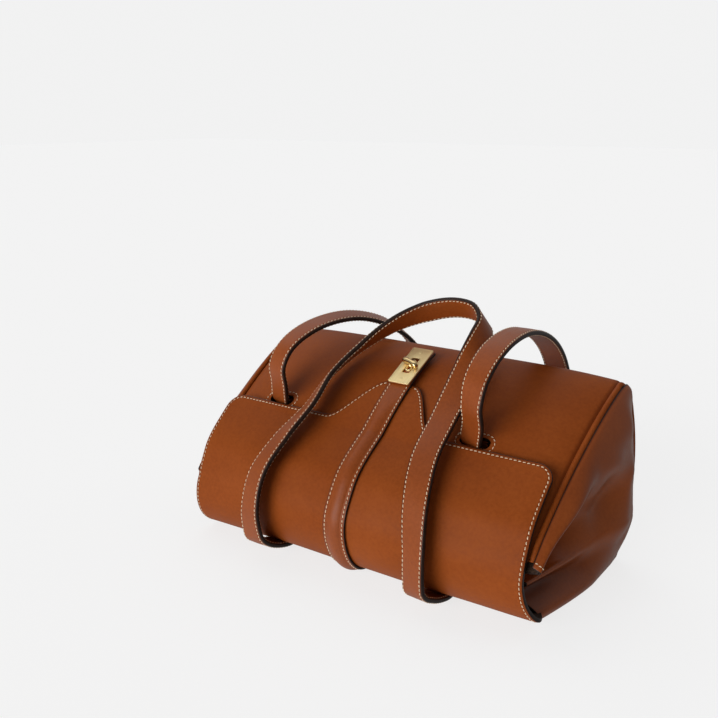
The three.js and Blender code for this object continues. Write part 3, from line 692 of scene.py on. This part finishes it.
top, foot = frontSeam(np.zeros(1))[0], backSeam(np.zeros(1))[0]
drop = np.linspace(0.05, 0.95, 9)[:, None]
end = top + (foot - top) * drop
end[:, 0] += endBelly(end[:, 2]) - piping["tuck"] * drop[:, 0]
fromMouth = np.array([1, 0.97, 0.9, 0.78, 0.64, 0.5, 0.36, 0.22, 0.1, 0.04])
seamLine = np.vstack([frontSeam(fromMouth), end, backSeam(np.linspace(0.05, 1, 8))])
pipingPath, _ = curveThrough(seamLine, piping["step"])
for side, name in ((-1, "left"), (1, "right")):
    mirror = np.array([side, 1, 1])
    piece = tubePiece(name + "Piping", pipingPath * mirror, body["piping"], pipingLeather)
    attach(piece, "bag")
    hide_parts(name + "_piping")
print("gussets made")

# Flap: a profile that leaves the back panel, rolls round the mouth and lies on the front panel,
# carried along X with a barrel that is a half sine along the profile and a parabola across. Towards
# its ends the roll fills out along the floor instead, and at the right it flares a little.
flap = {
    "half": 150, "out": 1.625, "lift": 3.4, "crown": 8, "crownEnd": 0.6, "fill": (9, 4), "flare": 12,
    "reach": 28, "rise": 39.4, "centre": (-65, 48), "flatten": 0.11, "hinge": (-50.2, 4.2),
    "sideY": -45.3, "peakY": -10.2, "peakHalf": 13, "footHalf": 50, "corner": 13, "endY": 29,
    "stitchIn": 2.0, "stitchGap": 12.2, "groove": 0.3, "ripple": 0.22, "rim": 6, "border": 9,
}


def liftedPoint(y):
    place, _, normal = panelFrame(0.0, y)
    return place + normal * flap["lift"]


roll = np.radians([-90, -60, -30, 0, 30, 58])
full = 1 - flap["flatten"] * np.sin(np.pi * np.clip(roll / math.radians(75), 0, 1))
rollPoints = np.stack([0 * roll, flap["centre"][0] - flap["reach"] * full * np.cos(roll),
                       flap["centre"][1] + flap["rise"] * full * np.sin(roll)], -1)
sideY, peakY, endY = flap["sideY"], flap["peakY"], flap["endY"]
upper = [liftedPoint(y) for y in (sideY, mix(sideY, peakY, 0.5), peakY, mix(peakY, endY, 0.5), endY)]
profile, _ = curveThrough(np.vstack([[[0, *flap["hinge"]]], rollPoints, upper]), 0.25)
profileAhead = unit(np.gradient(profile, axis=0))
profileShare = np.linspace(0, 1, len(profile))
profileLength = runLength(profile)[-1]
rising = profileShare > 0.4


def shareAt(y):
    return float(np.interp(y, profile[rising, 1], profileShare[rising]))


sideShare, peakShare = shareAt(sideY), shareAt(peakY)


def flapNormal(share):
    ahead = sampleAt(profileAhead, profileShare, np.ravel(share)).reshape(*np.shape(share), 3)
    return np.stack([0 * ahead[..., 0], -ahead[..., 2], ahead[..., 1]], -1)


# Point of the flap at x, at a share of the profile's length and at an offset from its middle layer
def flapPoint(x, share, offset):
    x, share, offset = np.broadcast_arrays(*(np.asarray(a, float) for a in (x, share, offset)))
    p = sampleAt(profile, profileShare, np.ravel(share)).reshape(*share.shape, 3)
    away = (x / flap["half"]) ** 2
    barrel = flap["crown"] * np.sin(np.pi * np.clip(share / flap["crownEnd"], 0, 1) ** 0.8) * (1 - away)
    fill = np.where(x < 0, *flap["fill"]) * np.sin(np.pi * np.clip(share / 0.3, 0, 1)) * away
    p = p + flapNormal(share) * (barrel + fill + offset)[..., None]
    low = smooth((share - 0.04) / 0.09) * (1 - smooth(share / 0.28))
    p[..., 0] = x + flap["flare"] * low * np.clip(x / flap["half"], 0, 1) ** 4
    return p


# Share of the profile where the flap ends: low at the sides with round corners, with a smooth rise to
# a peak in the middle
def flapEdge(x):
    away = np.abs(x)
    rise = smooth((flap["footHalf"] - away) / (flap["footHalf"] - flap["peakHalf"]))
    past = np.maximum(0, away - (flap["half"] - flap["corner"]))
    corner = flap["corner"] - np.sqrt(np.maximum(0, flap["corner"] ** 2 - past**2))
    return mix(sideShare, peakShare, rise) - corner / profileLength


# The flap's outline laid flat, as x and length along the profile, and its stitch line inside it
flapHalf, sideSteps = flap["half"], 60
inside = flapHalf - 0.01
sideX = np.full(sideSteps, float(flapHalf))
edgeX = np.concatenate([sideX, flapHalf * np.sin(np.pi / 2 * np.linspace(1, -1, 500)), -sideX])
edgeS = flapEdge(np.clip(edgeX, -inside, inside)) * profileLength
edgeS[:sideSteps] = np.linspace(0, edgeS[sideSteps], sideSteps)
edgeS[-sideSteps:] = np.linspace(edgeS[-sideSteps - 1], 0, sideSteps)
outline = np.stack([edgeX, edgeS], -1)


# Least distance from flat points to the outline's straight pieces, a share of the points at a time
def outlineDistance(x, s):
    a, b = outline[:-1], outline[1:]
    p = np.stack([np.ravel(x), np.ravel(s)], -1)
    best = np.full(len(p), 1e9)
    for part in np.array_split(np.arange(len(p)), 12):
        q = p[part][:, None]
        along = np.clip(np.sum((q - a) * (b - a), -1) / np.maximum(np.sum((b - a) ** 2, -1), 1e-9), 0, 1)
        best[part] = np.min(np.linalg.norm(q - a - (b - a) * along[..., None], axis=-1), axis=1)
    return best.reshape(np.shape(x))


# Columns crowd in the rim beside each side and rows in the border beside the edge
rimX = flapHalf - flap["rim"]
side = flapHalf - flap["rim"] * np.linspace(1, 0, 15) ** 1.3
x = np.concatenate([-side[::-1], np.linspace(-rimX, rimX, 200)[1:-1], side])
nearEdge = flap["border"] / profileLength
v = np.concatenate([np.linspace(0, 1, 84)[:-1], np.linspace(1, 2, 26)])
xs, vs = np.meshgrid(np.clip(x, -inside, inside), v, indexing="ij")
edge = flapEdge(xs)
share = np.where(vs <= 1, vs * (edge - nearEdge), edge - nearEdge * (2 - vs))
distance = outlineDistance(xs, share * profileLength)
waves = np.sin(xs / 17 + 2 * np.sin(share * 9)) * np.sin(share * 21 + xs / 60)
ripple = flap["ripple"] * waves * smooth(distance / 25)
press = np.exp(-((distance - flap["stitchIn"]) / 0.6) ** 2)
detail = ripple - flap["groove"] * press - 0.4 * np.exp(-((distance / 0.8) ** 2))
grid = flapPoint(xs, share, 0)
pressAndShade = np.clip(0.55 * press + 0.8 * np.exp(-((distance / 1.3) ** 2)), 0, 1)
flapPiece = sheetPiece("flapSheet", grid, flap["out"] + detail, -flap["out"],
                       [leather, paintedEdge, suede], pressAndShade, normals=flapNormal(share))
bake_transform(flapPiece)
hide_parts("flap_foot", "flap_panel", "flap_lining")

# Stitch line: the outline moved in by its own normal
run = runLength(outline)
at = np.arange(6, run[-1] - 6, 0.7)
line = sampleAt(outline, run, at)
ahead = unit(np.gradient(line, axis=0))
line = line + np.stack([-ahead[:, 1], ahead[:, 0]], -1) * flap["stitchIn"]
stitchShare = line[:, 1] / profileLength
path = flapPoint(line[:, 0], stitchShare, flap["out"] - flap["groove"])
outward = flapNormal(stitchShare)
parts = [line[:, 0] > flap["stitchGap"], line[:, 0] < -flap["stitchGap"]]
flapStitches = stitchPiece("flapStitches", [stitchRow(path[k], outward[k]) for k in parts])
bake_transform(flapStitches)
print("flap made")

# Tongue: a strap down the middle of the flap. Its pad is a cosine to the power 0.8 across, between the
# two stitch lines, and fades out along the flap before the lock.
tongue = {
    "half": 9.6, "thick": 2.2, "gap": 0.4, "pad": 2.3, "padHalf": 6.6, "start": 0.075, "endY": 26.6,
    "stitchAt": 8.0, "stitchEndY": -12.0, "groove": 0.3,
}
tongueBase = flap["out"] + tongue["gap"]
endShare = shareAt(tongue["endY"])
fine = tongue["half"] - np.concatenate([np.linspace(3.0, 0.6, 11), np.linspace(0.4, 0, 3)])
x = np.concatenate([-fine[::-1], np.linspace(-5.8, 5.8, 17), fine])
share = np.linspace(tongue["start"], endShare, 260)
xs, ss = np.meshgrid(x, share, indexing="ij")
fadeOut = smooth((ss - sideShare) / (0.85 * (peakShare - sideShare)))
fade = (1 - fadeOut) * smooth((ss - tongue["start"]) / 0.05)
pad = tongue["pad"] * fade * np.cos(np.pi / 2 * np.clip(np.abs(xs) / tongue["padHalf"], 0, 1)) ** 0.8
press = np.exp(-((np.abs(xs) - tongue["stitchAt"]) / 0.55) ** 2)
inner = tongue["half"] - np.abs(xs)
rounding = 0.35 * np.exp(-((inner / 0.8) ** 2))
height = tongueBase + tongue["thick"] + pad - tongue["groove"] * press - rounding
grid = flapPoint(xs, ss, 0)
pressAndShade = np.clip(0.6 * press + 0.8 * np.exp(-((inner / 0.9) ** 2)), 0, 1)
tonguePiece = sheetPiece("tongueStrap", grid, height, tongueBase,
                         [strapLeather, paintedEdge, strapLeather], pressAndShade, normals=flapNormal(ss))
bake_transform(tonguePiece)
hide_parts("tongue_strap")
rows = []
plateShare = shareAt(tongue["stitchEndY"])
for sideSign in (-1, 1):
    s = np.linspace(tongue["start"] + 0.01, plateShare - 0.004, 600)
    path = flapPoint(sideSign * tongue["stitchAt"], s, tongueBase + tongue["thick"] - tongue["groove"])
    rows.append(stitchRow(path, flapNormal(s)))
tongueStitches = stitchPiece("tongueStitches", rows)
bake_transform(tongueStitches)
print("tongue made")

# Straps: a flat section carried along a path, crowned as a parabola, with round painted edges and a
# pressed line, a bell curve, under each row of stitches
strap = {"half": 11, "thick": 3.95, "stitchAt": 9.2, "groove": 0.3, "crown": 0.35, "edge": 0.8,
         "edgeRound": 0.75, "edgeDrop": 0.45}


def strapSection():
    half, edge, edgeRound = strap["half"], strap["edge"], strap["edgeRound"]
    fine = np.concatenate([np.linspace(8.0, 10.0, 10), [half - edge]])
    a = np.concatenate([-fine[::-1], np.linspace(-7.2, 7.2, 9), fine])
    press = np.exp(-((np.abs(a) - strap["stitchAt"]) / 0.5) ** 2)
    drop = strap["edgeDrop"] * smooth((np.abs(a) - (half - 2.2)) / 1.6) ** 2
    h = strap["thick"] / 2 + strap["crown"] * (1 - (a / half) ** 2) - strap["groove"] * press - drop
    q = np.radians([62, 31, 0, -31, -62])
    edgeA = half - edgeRound + edgeRound * np.cos(q)
    edgeH = (h[-1] - 0.1) * np.sin(q) / math.sin(math.radians(75))
    across = np.concatenate([a, edgeA, a[::-1], -edgeA])
    tall = np.concatenate([h, edgeH, -h[::-1], -edgeH])
    shade = np.clip(0.55 * press + 0.85 * np.exp(-(((half - edge - np.abs(a)) / 0.9) ** 2)), 0, 1)
    pressAndShade = np.tile(np.concatenate([shade, np.ones(len(q))]), 2)
    painted = np.tile(np.concatenate([np.zeros(len(a) - 1), np.ones(len(q) + 1)]), 2)
    return across, tall, pressAndShade, painted


sectionA, sectionH, sectionSeam, sectionPaint = strapSection()


# Even points along a strap's path, with its width direction squared to the path, and its face normal
def strapFrames(points, directions, step=2.2):
    p, index = curveThrough(points, step)
    d = np.asarray(directions, float)
    wide = sampleAt(d, np.arange(len(d), dtype=float), index)
    ahead = unit(np.gradient(p, axis=0))
    wide = unit(wide - ahead * np.sum(wide * ahead, -1, keepdims=True))
    return p, wide, np.cross(wide, ahead)


def strapPiece(name, p, wide, face):
    across, tall = sectionA[None, :, None], sectionH[None, :, None]
    points = p[:, None] + wide[:, None] * across + face[:, None] * tall
    count, around = len(p), len(sectionA)
    quads = gridQuads(count, around, closeColumns=True)
    points = np.concatenate([points, points[:1], points[-1:]])
    caps = [list(range(k * around, (k + 1) * around)) for k in (count, count + 1)]
    piece = addMesh(name, points, quads, [strapLeather, paintedEdge], np.tile(sectionPaint, count - 1),
                    np.tile(sectionSeam, count + 2), extraFaces=caps)
    recalc(piece)
    return piece


def strapStitches(name, p, wide, face):
    high = strap["thick"] / 2 - strap["groove"] + 0.15
    rows = []
    for up in (1, -1):
        for sideSign in (-1, 1):
            path = p + wide * sideSign * strap["stitchAt"] + face * up * high
            rows.append(stitchRow(path, face * up))
    return stitchPiece(name, rows)


# Width directions of the straps: level, or turned by a share towards one that leans with the roll
alongX, backX = np.array([1.0, 0, 0]), np.array([-1.0, 0, 0])
leaning = unit(np.array([0, -0.74, 0.67]))
splayed = unit(np.array([-1, 0.34, 0]))
upright = unit(np.array([0, -0.58, 0.81]))


def halfway(a, b):
    return unit(np.asarray(a) + np.asarray(b))


def turned(share):
    return unit(mix(alongX, leaning, share))


def returned(share):
    return unit(mix(backX, leaning, share))


# Rear handle: tabs under the roll, slow bends off the floor, then a loop that rises before the roll,
# passes inside the front handle and arches over the front panel. Each point of the loop has its place
# and the strap's width direction there, and each point of a bend its shares of reach and rise.
rear = {"x": 75, "pass": 59.4, "tabY": -77, "tabMiddle": -69, "tabEnd": -61.6, "tabZ": 2.375, "reach": 34,
        "rise": 21, "hingeZ": 23.4}
bend = [(0.36, 0.16), (0.68, 0.4), (0.9, 0.67), (1, 1)]


def footPoints(side):
    x, z = side * rear["x"], rear["tabZ"]
    tab = [(x, y, z) for y in (rear["tabEnd"], rear["tabMiddle"], rear["tabY"])]
    return tab + [(x, rear["tabY"] - a * rear["reach"], z + b * rear["rise"]) for a, b in bend]


rx, rp = rear["x"], rear["pass"]
loop = [
    (-rx, -113.5, 45, turned(0.26)), (-rx, -103.5, 72, turned(0.27)),
    (-mix(rx, rp, 0.5), -83, 97, turned(0.32)), (-rp, -56, 118, turned(0.44)),
    (-rp, -29, 136, turned(0.53)), (-0.85 * rp, -1, 154, turned(0.58)),
    (-0.5 * rp, 23, 174, turned(0.8)), (-0.08 * rp, 37, 186, upright),
    (0.32 * rp, 41, 191.5, upright), (0.66 * rp, 38, 190.5, upright),
    (0.88 * rp, 29, 184, returned(0.85)), (0.94 * rp, 13, 173, returned(0.65)),
    (0.97 * rp, -8, 156, returned(0.3)), (0.99 * rp, -45, 127, backX),
    (mix(rx, rp, 0.88), -76, 106, backX), (mix(rx, rp, 0.4), -100, 80, unit(np.array([-1, 0.16, 0]))),
    (rx, -112, 48, splayed),
]
leftFoot, rightFoot = footPoints(-1), footPoints(1)[::-1]
points = leftFoot + [q[:3] for q in loop] + rightFoot
directions = ([alongX] * 5 + [turned(0.1), turned(0.2)] + [q[3] for q in loop]
              + [splayed, halfway(backX, splayed)] + [backX] * 5)
p, wide, face = strapFrames(points, directions)
low = p[:, 2] < rear["hingeZ"]
first = int(np.argmin(low))
last = len(p) - int(np.argmin(low[::-1]))
pieces = {"rearHandleLeftFoot": slice(0, first + 1), "rearHandleLoop": slice(first, last),
          "rearHandleRightFoot": slice(last - 1, len(p))}
stands = {"rearHandleLeftFoot": ("rear_handle_left_tab", "rear_handle_left_bend"),
          "rearHandleLoop": ("rear_handle_outer", "rear_handle_inner"),
          "rearHandleRightFoot": ("rear_handle_right_tab", "rear_handle_right_bend")}
for name, part in pieces.items():
    piece = strapPiece(name, p[part], wide[part], face[part])
    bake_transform(piece)
    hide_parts(*stands[name])
    stitches = strapStitches(name + "Stitches", p[part], wide[part], face[part])
    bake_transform(stitches)
print("rear handle made")

# Front handle: out of the slots, up, back over the base in an arch and down behind it in a loop.
# Each point of a half has x from the middle, y and z from the pivot above the slot, and then what
# differs by side: its shares of the shift to the right, of the left leg's set-out and of the right
# arch's lift, and how far the left half is set back and in. The left half sinks with its shift.
front = {
    "x": 82, "arch": 52, "reach": 155.5, "drop": 106, "shift": 6, "sink": 5, "lift": 5, "leftOut": 19.5,
    "pivotOut": (0, -5, 16), "endShift": {-1: -3, 1: -4},
}
slotPlace, _, _ = panelFrame(float(front["x"]), frontPanel["slotY"])
pivot = slotPlace + np.array(front["pivotOut"])
fx, fa, fr, fd = front["x"], front["arch"], front["reach"], front["drop"]
half = [
    (fx, -1, 0, 0, 1, 0, 0, 0), (fx, -4, 15, 0, 1, 0, 1, 0), (fx, 1.5, 32, 0.1, 0.84, 0.3, 4.5, 0),
    (fx, 0.15 * fr, fa - 5, 0.4, 0.47, 0.8, 7, 0), (fx - 0.5, 0.41 * fr, fa, 0.7, 0.13, 1, 5, 4),
    (fx - 1, 0.67 * fr, fa - 11, 0.9, 0, 0.8, 2, 12), (fx - 2, 0.8714 * fr, fa - 34, 1, 0, 0.4, 0, 19),
    (fx - 2, fr - 3, -0.132 * fd, 1, 0, 0, 0, 20), (fx - 4, fr, -0.462 * fd, 1, 0, 0, 0, 14),
    (fx - 17, fr - 1, -0.764 * fd, 1, 0, 0, 0, 6), (fx - 43, fr - 2, -0.934 * fd, 1, 0, 0, 0, 0),
]


def frontSide(side):
    left, right = side < 0, side > 0
    points = []
    for x, y, z, shifted, far, up, back, inward in half:
        outX = side * x + shifted * front["shift"] - left * far * front["leftOut"] + left * inward
        outZ = z - left * shifted * front["sink"] + right * up * front["lift"]
        points.append((outX, pivot[1] + y + left * back, pivot[2] + outZ))
    return points


# Point on a leg's line under the panel, a reach up the slope from its slot and at a depth
def insideSlot(reach, depth, side):
    place, slope, normal = panelFrame(frontPanel["slots"][side], frontPanel["slotY"])
    q = place + slope * reach - normal * depth
    legX = fx if side > 0 else -fx - front["leftOut"]
    return (legX + front["endShift"][side], q[1], q[2])


downY = np.array([0, -1.0, 0])
turning = halfway(alongX, downY)
lowest = (front["shift"], pivot[1] + fr - 2, pivot[2] - fd)
points = ([insideSlot(-0.2, 5, 1), insideSlot(-0.4, 0, 1)] + frontSide(1) + [lowest]
          + frontSide(-1)[::-1] + [insideSlot(-0.4, 0, -1), insideSlot(-0.2, 5, -1)])
legRight, legLeft = unit(np.array([1, -0.4, 0])), unit(np.array([-1, 0.32, 0]))
edgeOn = unit(np.array([-0.84, 0.4, 0.24]))
directions = (
    [legRight] * 4 + [halfway(alongX, legRight)] + [alongX] * 5
    + [halfway(alongX, turning), turning, downY, downY, downY, halfway(backX, downY)]
    + [backX, halfway(backX, edgeOn), edgeOn, edgeOn, halfway(backX, edgeOn)]
    + [halfway(backX, legLeft)] + [legLeft] * 5
)
p, wide, face = strapFrames(points, directions)
frontStrap = strapPiece("frontHandleLoop", p, wide, face)
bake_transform(frontStrap)
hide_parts("front_handle_outer", "front_handle_inner")
frontStitches = strapStitches("frontHandleStitches", p[3:-3], wide[3:-3], face[3:-3])
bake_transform(frontStitches)
for side, name in ((-1, "left"), (1, "right")):
    points = [insideSlot(a, b, side) for a, b in ((32, 8.6), (16, 7.7), (7, 7.5), (2.4, 6.2))]
    p, wide, face = strapFrames(points, [alongX] * 4)
    piece = strapPiece(name + "Anchor", p, wide, face)
    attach(piece, "bag")
    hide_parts("front_handle_" + name + "_neck")
print("front handle made")

# Turn lock on the middle of the panel: a slotted plate, a bezel through its slot and a bow-shaped knob
lock = {"y": 7.0, "half": (9.8, 22), "low": 7.025, "high": 8.425, "slotHalf": (3.5, 9.5),
        "bezelHalf": (2.7, 6.6), "bezelFoot": 0.4, "rivetY": 17.0}
lockPlace, lockSlope, lockNormal = panelFrame(0.0, lock["y"])
lockPlace = lockPlace + lockNormal


# Points given across the lock, up its slope and out from the panel
def onLock(local):
    across, up, out = local[..., :1], local[..., 1:2], local[..., 2:]
    return lockPlace + across * alongX + up * lockSlope + out * lockNormal


# Even points round a rectangle whose corners are quarter circles
def roundedRing(halfX, halfY, radius, count=96):
    a, b, r = halfX - radius, halfY - radius, radius
    q = np.linspace(0, np.pi / 2, 9)
    corners = [(a, b, 0), (-a, b, 1), (-a, -b, 2), (a, -b, 3)]
    turns = [(cx, cy, q + k * np.pi / 2) for cx, cy, k in corners]
    dense = np.vstack([np.stack([cx + r * np.cos(w), cy + r * np.sin(w)], -1) for cx, cy, w in turns])
    dense = np.vstack([[[halfX, 0]], dense, [[halfX, 0]]])
    dense = np.column_stack([dense, np.zeros(len(dense))])
    run = runLength(dense)
    return sampleAt(dense, run, np.linspace(0, run[-1], count, endpoint=False))[:, :2]


# A solid through flat rings at given heights, closed on itself through its hole or capped at both ends
def ringSolid(name, rings, material, wrap=True):
    points = np.stack([np.column_stack([ring, np.full(len(ring), z)]) for ring, z in rings])
    count, around = points.shape[:2]
    caps = [] if wrap else [list(range(around)), list(range((count - 1) * around, count * around))]
    quads = gridQuads(count, around, closeRows=wrap, closeColumns=True)
    piece = addMesh(name, onLock(points), quads, [material], extraFaces=caps)
    recalc(piece)
    return piece


# Rounded rings about a half size, each with how far out it is moved, its corner radius and its height
def ringStack(halfSize, rows):
    return [(roundedRing(halfSize[0] + out, halfSize[1] + out, radius), z) for out, radius, z in rows]


lo, hi = lock["low"], lock["high"]
outerRows = [(-0.15, 1.1, lo), (0, 1.2, lo + 0.2), (0, 1.2, hi - 0.3), (-0.1, 1.1, hi - 0.09),
             (-0.3, 0.9, hi)]
slotRows = [(0.35, 1.6, hi), (0.1, 1.45, hi - 0.09), (0, 1.4, hi - 0.3), (0, 1.4, lo)]
plateRings = ringStack(lock["half"], outerRows) + ringStack(lock["slotHalf"], slotRows)
platePiece = ringSolid("lockPlate", plateRings, gold)
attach(platePiece, "flap")
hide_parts("lock_plate")
foot = lock["bezelFoot"]
bezelRows = [(0, 2.4, foot), (0, 2.4, hi + 0.1), (-0.2, 2.2, hi + 0.4), (-0.6, 1.9, hi + 0.4),
             (-0.8, 1.8, hi + 0.1), (-0.8, 1.8, foot)]
bezelPiece = ringSolid("lockBezel", ringStack(lock["bezelHalf"], bezelRows), gold)
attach(bezelPiece, "bag")

# Knob: a bar of squarish section along its stations, wider towards its rounded ends, bowed down as a
# parabola and turned a little, on a round post
knob = {"stations": 41, "sides": 20, "half": 8.8, "bow": 0.7, "rise": 3.5, "wide": (1.9, 1.5),
        "tall": (2.5, 0.5), "post": 1.8, "postFoot": 0.2, "postTop": 3, "turn": -20}
count, sides = knob["stations"], knob["sides"]
stations = evened(count)
around = np.linspace(0, 2 * np.pi, sides, endpoint=False)
close = np.sqrt(np.maximum(0, 1 - np.abs(stations) ** 5))
wideY = (knob["wide"][0] + knob["wide"][1] * stations**2) * close
tallZ = (knob["tall"][0] + knob["tall"][1] * stations**2) * close
ringY = np.sign(np.cos(around)) * np.abs(np.cos(around)) ** 0.75
ringZ = np.sign(np.sin(around)) * np.abs(np.sin(around)) ** 0.75
bow = hi + knob["rise"] - knob["bow"] * stations**2
barX = np.broadcast_to(stations[:, None] * knob["half"], (count, sides))
barY = wideY[:, None] * ringY[None]
turn = math.radians(knob["turn"])
c, s = math.cos(turn), math.sin(turn)
bar = np.stack([barX * c - barY * s, barX * s + barY * c, bow[:, None] + tallZ[:, None] * ringZ[None]], -1)
postX, postY = knob["post"] * np.cos(around), knob["post"] * np.sin(around)
postEnds = (knob["postFoot"], hi + knob["postTop"])
post = [np.column_stack([postX, postY, np.full(sides, z)]) for z in postEnds]
points = np.vstack([bar.reshape(-1, 3), *post])
barEnd = count * sides
quads = np.vstack([gridQuads(count, sides, closeColumns=True),
                   gridQuads(2, sides, closeColumns=True, start=barEnd)])
caps = [list(range(barEnd + k * sides, barEnd + (k + 1) * sides)) for k in (0, 1)]
knobPiece = addMesh("turnKnob", onLock(points), quads, [polishedGold], extraFaces=caps)
recalc(knobPiece)
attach(knobPiece, "turn_knob")
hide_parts("turn_knob")
for y, name in ((-lock["rivetY"], "lower"), (lock["rivetY"], "upper")):
    rings = [(roundedRing(r, r, r * 0.999, 24) + np.array([0, y]), z) for r, z in
             ((1.6, hi - 2), (1.6, hi + 0.05), (1.45, hi + 0.16), (1.0, hi + 0.24), (0.4, hi + 0.27))]
    piece = ringSolid(name + "Rivet", rings, gold, wrap=False)
    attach(piece, "flap")
    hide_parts(name + "_rivet")
print("lock made")

# Solids that stay hidden inside keep their own shape and take a plain finish
hiddenFinish = {"lock_base": gold, "lock_washer": gold, "base_board": boardPaper, "base_lining": suede}
for node, finish in hiddenFinish.items():
    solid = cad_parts[node]
    solid.data.materials.clear()
    solid.data.materials.append(finish)

# Floor and light: a pale floor that glows as bright as the backdrop, soft domes of light that fall off
# with the cosine from their direction, and broad suns
floorMaterial, _, _, floorShader = newMaterial("paleFloor", (0.22, 0.22, 0.22), 1.0)
floorShader.inputs["Specular IOR Level"].default_value = 0.0
floorShader.inputs["Emission Color"].default_value = (1, 1, 1, 1)
floorHalf, floorDrop = 9000, -0.4
corners = [(-1, -1), (1, -1), (1, 1), (-1, 1)]
floorPoints = np.array([(a * floorHalf, b * floorHalf, floorDrop) for a, b in corners])
floor = addMesh("floor", floorPoints, np.array([[0, 1, 2, 3]]), [floorMaterial])
floor.visible_diffuse = False
floor.visible_glossy = False

lights = {
    "even": 0.05, "backdrop": 0.885, "floorGlow": 0.76,
    "domes": [((-0.4, 0.5, 0.77), 0.26), ((-0.2, -0.7, -0.68), 0.92), ((0.75, 0.6, 0.25), 0.1),
              ((0, 1, 0.1), 0.3)],
    "suns": [((-0.2, -0.95, 0.15), 2.6, 50), ((-0.55, 0.28, 0.79), 0.52, 60)],
}
floorShader.inputs["Emission Strength"].default_value = lights["floorGlow"]
world = bpy.data.worlds.new("studio")
bpy.context.scene.world = world
world.use_nodes = True
nodes, links = world.node_tree.nodes, world.node_tree.links
sky = nodes["Background"]
sky.inputs["Color"].default_value = (1, 1, 1, 1)
direction = nodes.new("ShaderNodeTexCoord").outputs["Generated"]
total = lights["even"]
for towards, strength in lights["domes"]:
    dot = nodes.new("ShaderNodeVectorMath")
    dot.operation = "DOT_PRODUCT"
    links.new(direction, dot.inputs[0])
    dot.inputs[1].default_value = towards
    above = mathNode(nodes, links, "MAXIMUM", dot.outputs["Value"], 0.0)
    total = mathNode(nodes, links, "ADD", mathNode(nodes, links, "MULTIPLY", above, strength), total)
ray = nodes.new("ShaderNodeLightPath")
level = nodes.new("ShaderNodeMix")
links.new(ray.outputs["Is Camera Ray"], level.inputs["Factor"])
links.new(total, level.inputs["A"])
level.inputs["B"].default_value = lights["backdrop"]
links.new(level.outputs["Result"], sky.inputs["Strength"])
for number, (towards, energy, spread) in enumerate(lights["suns"]):
    sun = bpy.data.objects.new("sun%d" % number, bpy.data.lights.new("sun%d" % number, "SUN"))
    sun.data.energy = energy
    sun.data.angle = math.radians(spread)
    across = math.hypot(towards[0], towards[1])
    sun.rotation_euler = (math.atan2(across, towards[2]), 0, math.atan2(towards[0], -towards[1]))
    bpy.context.scene.collection.objects.link(sun)
print("light made")
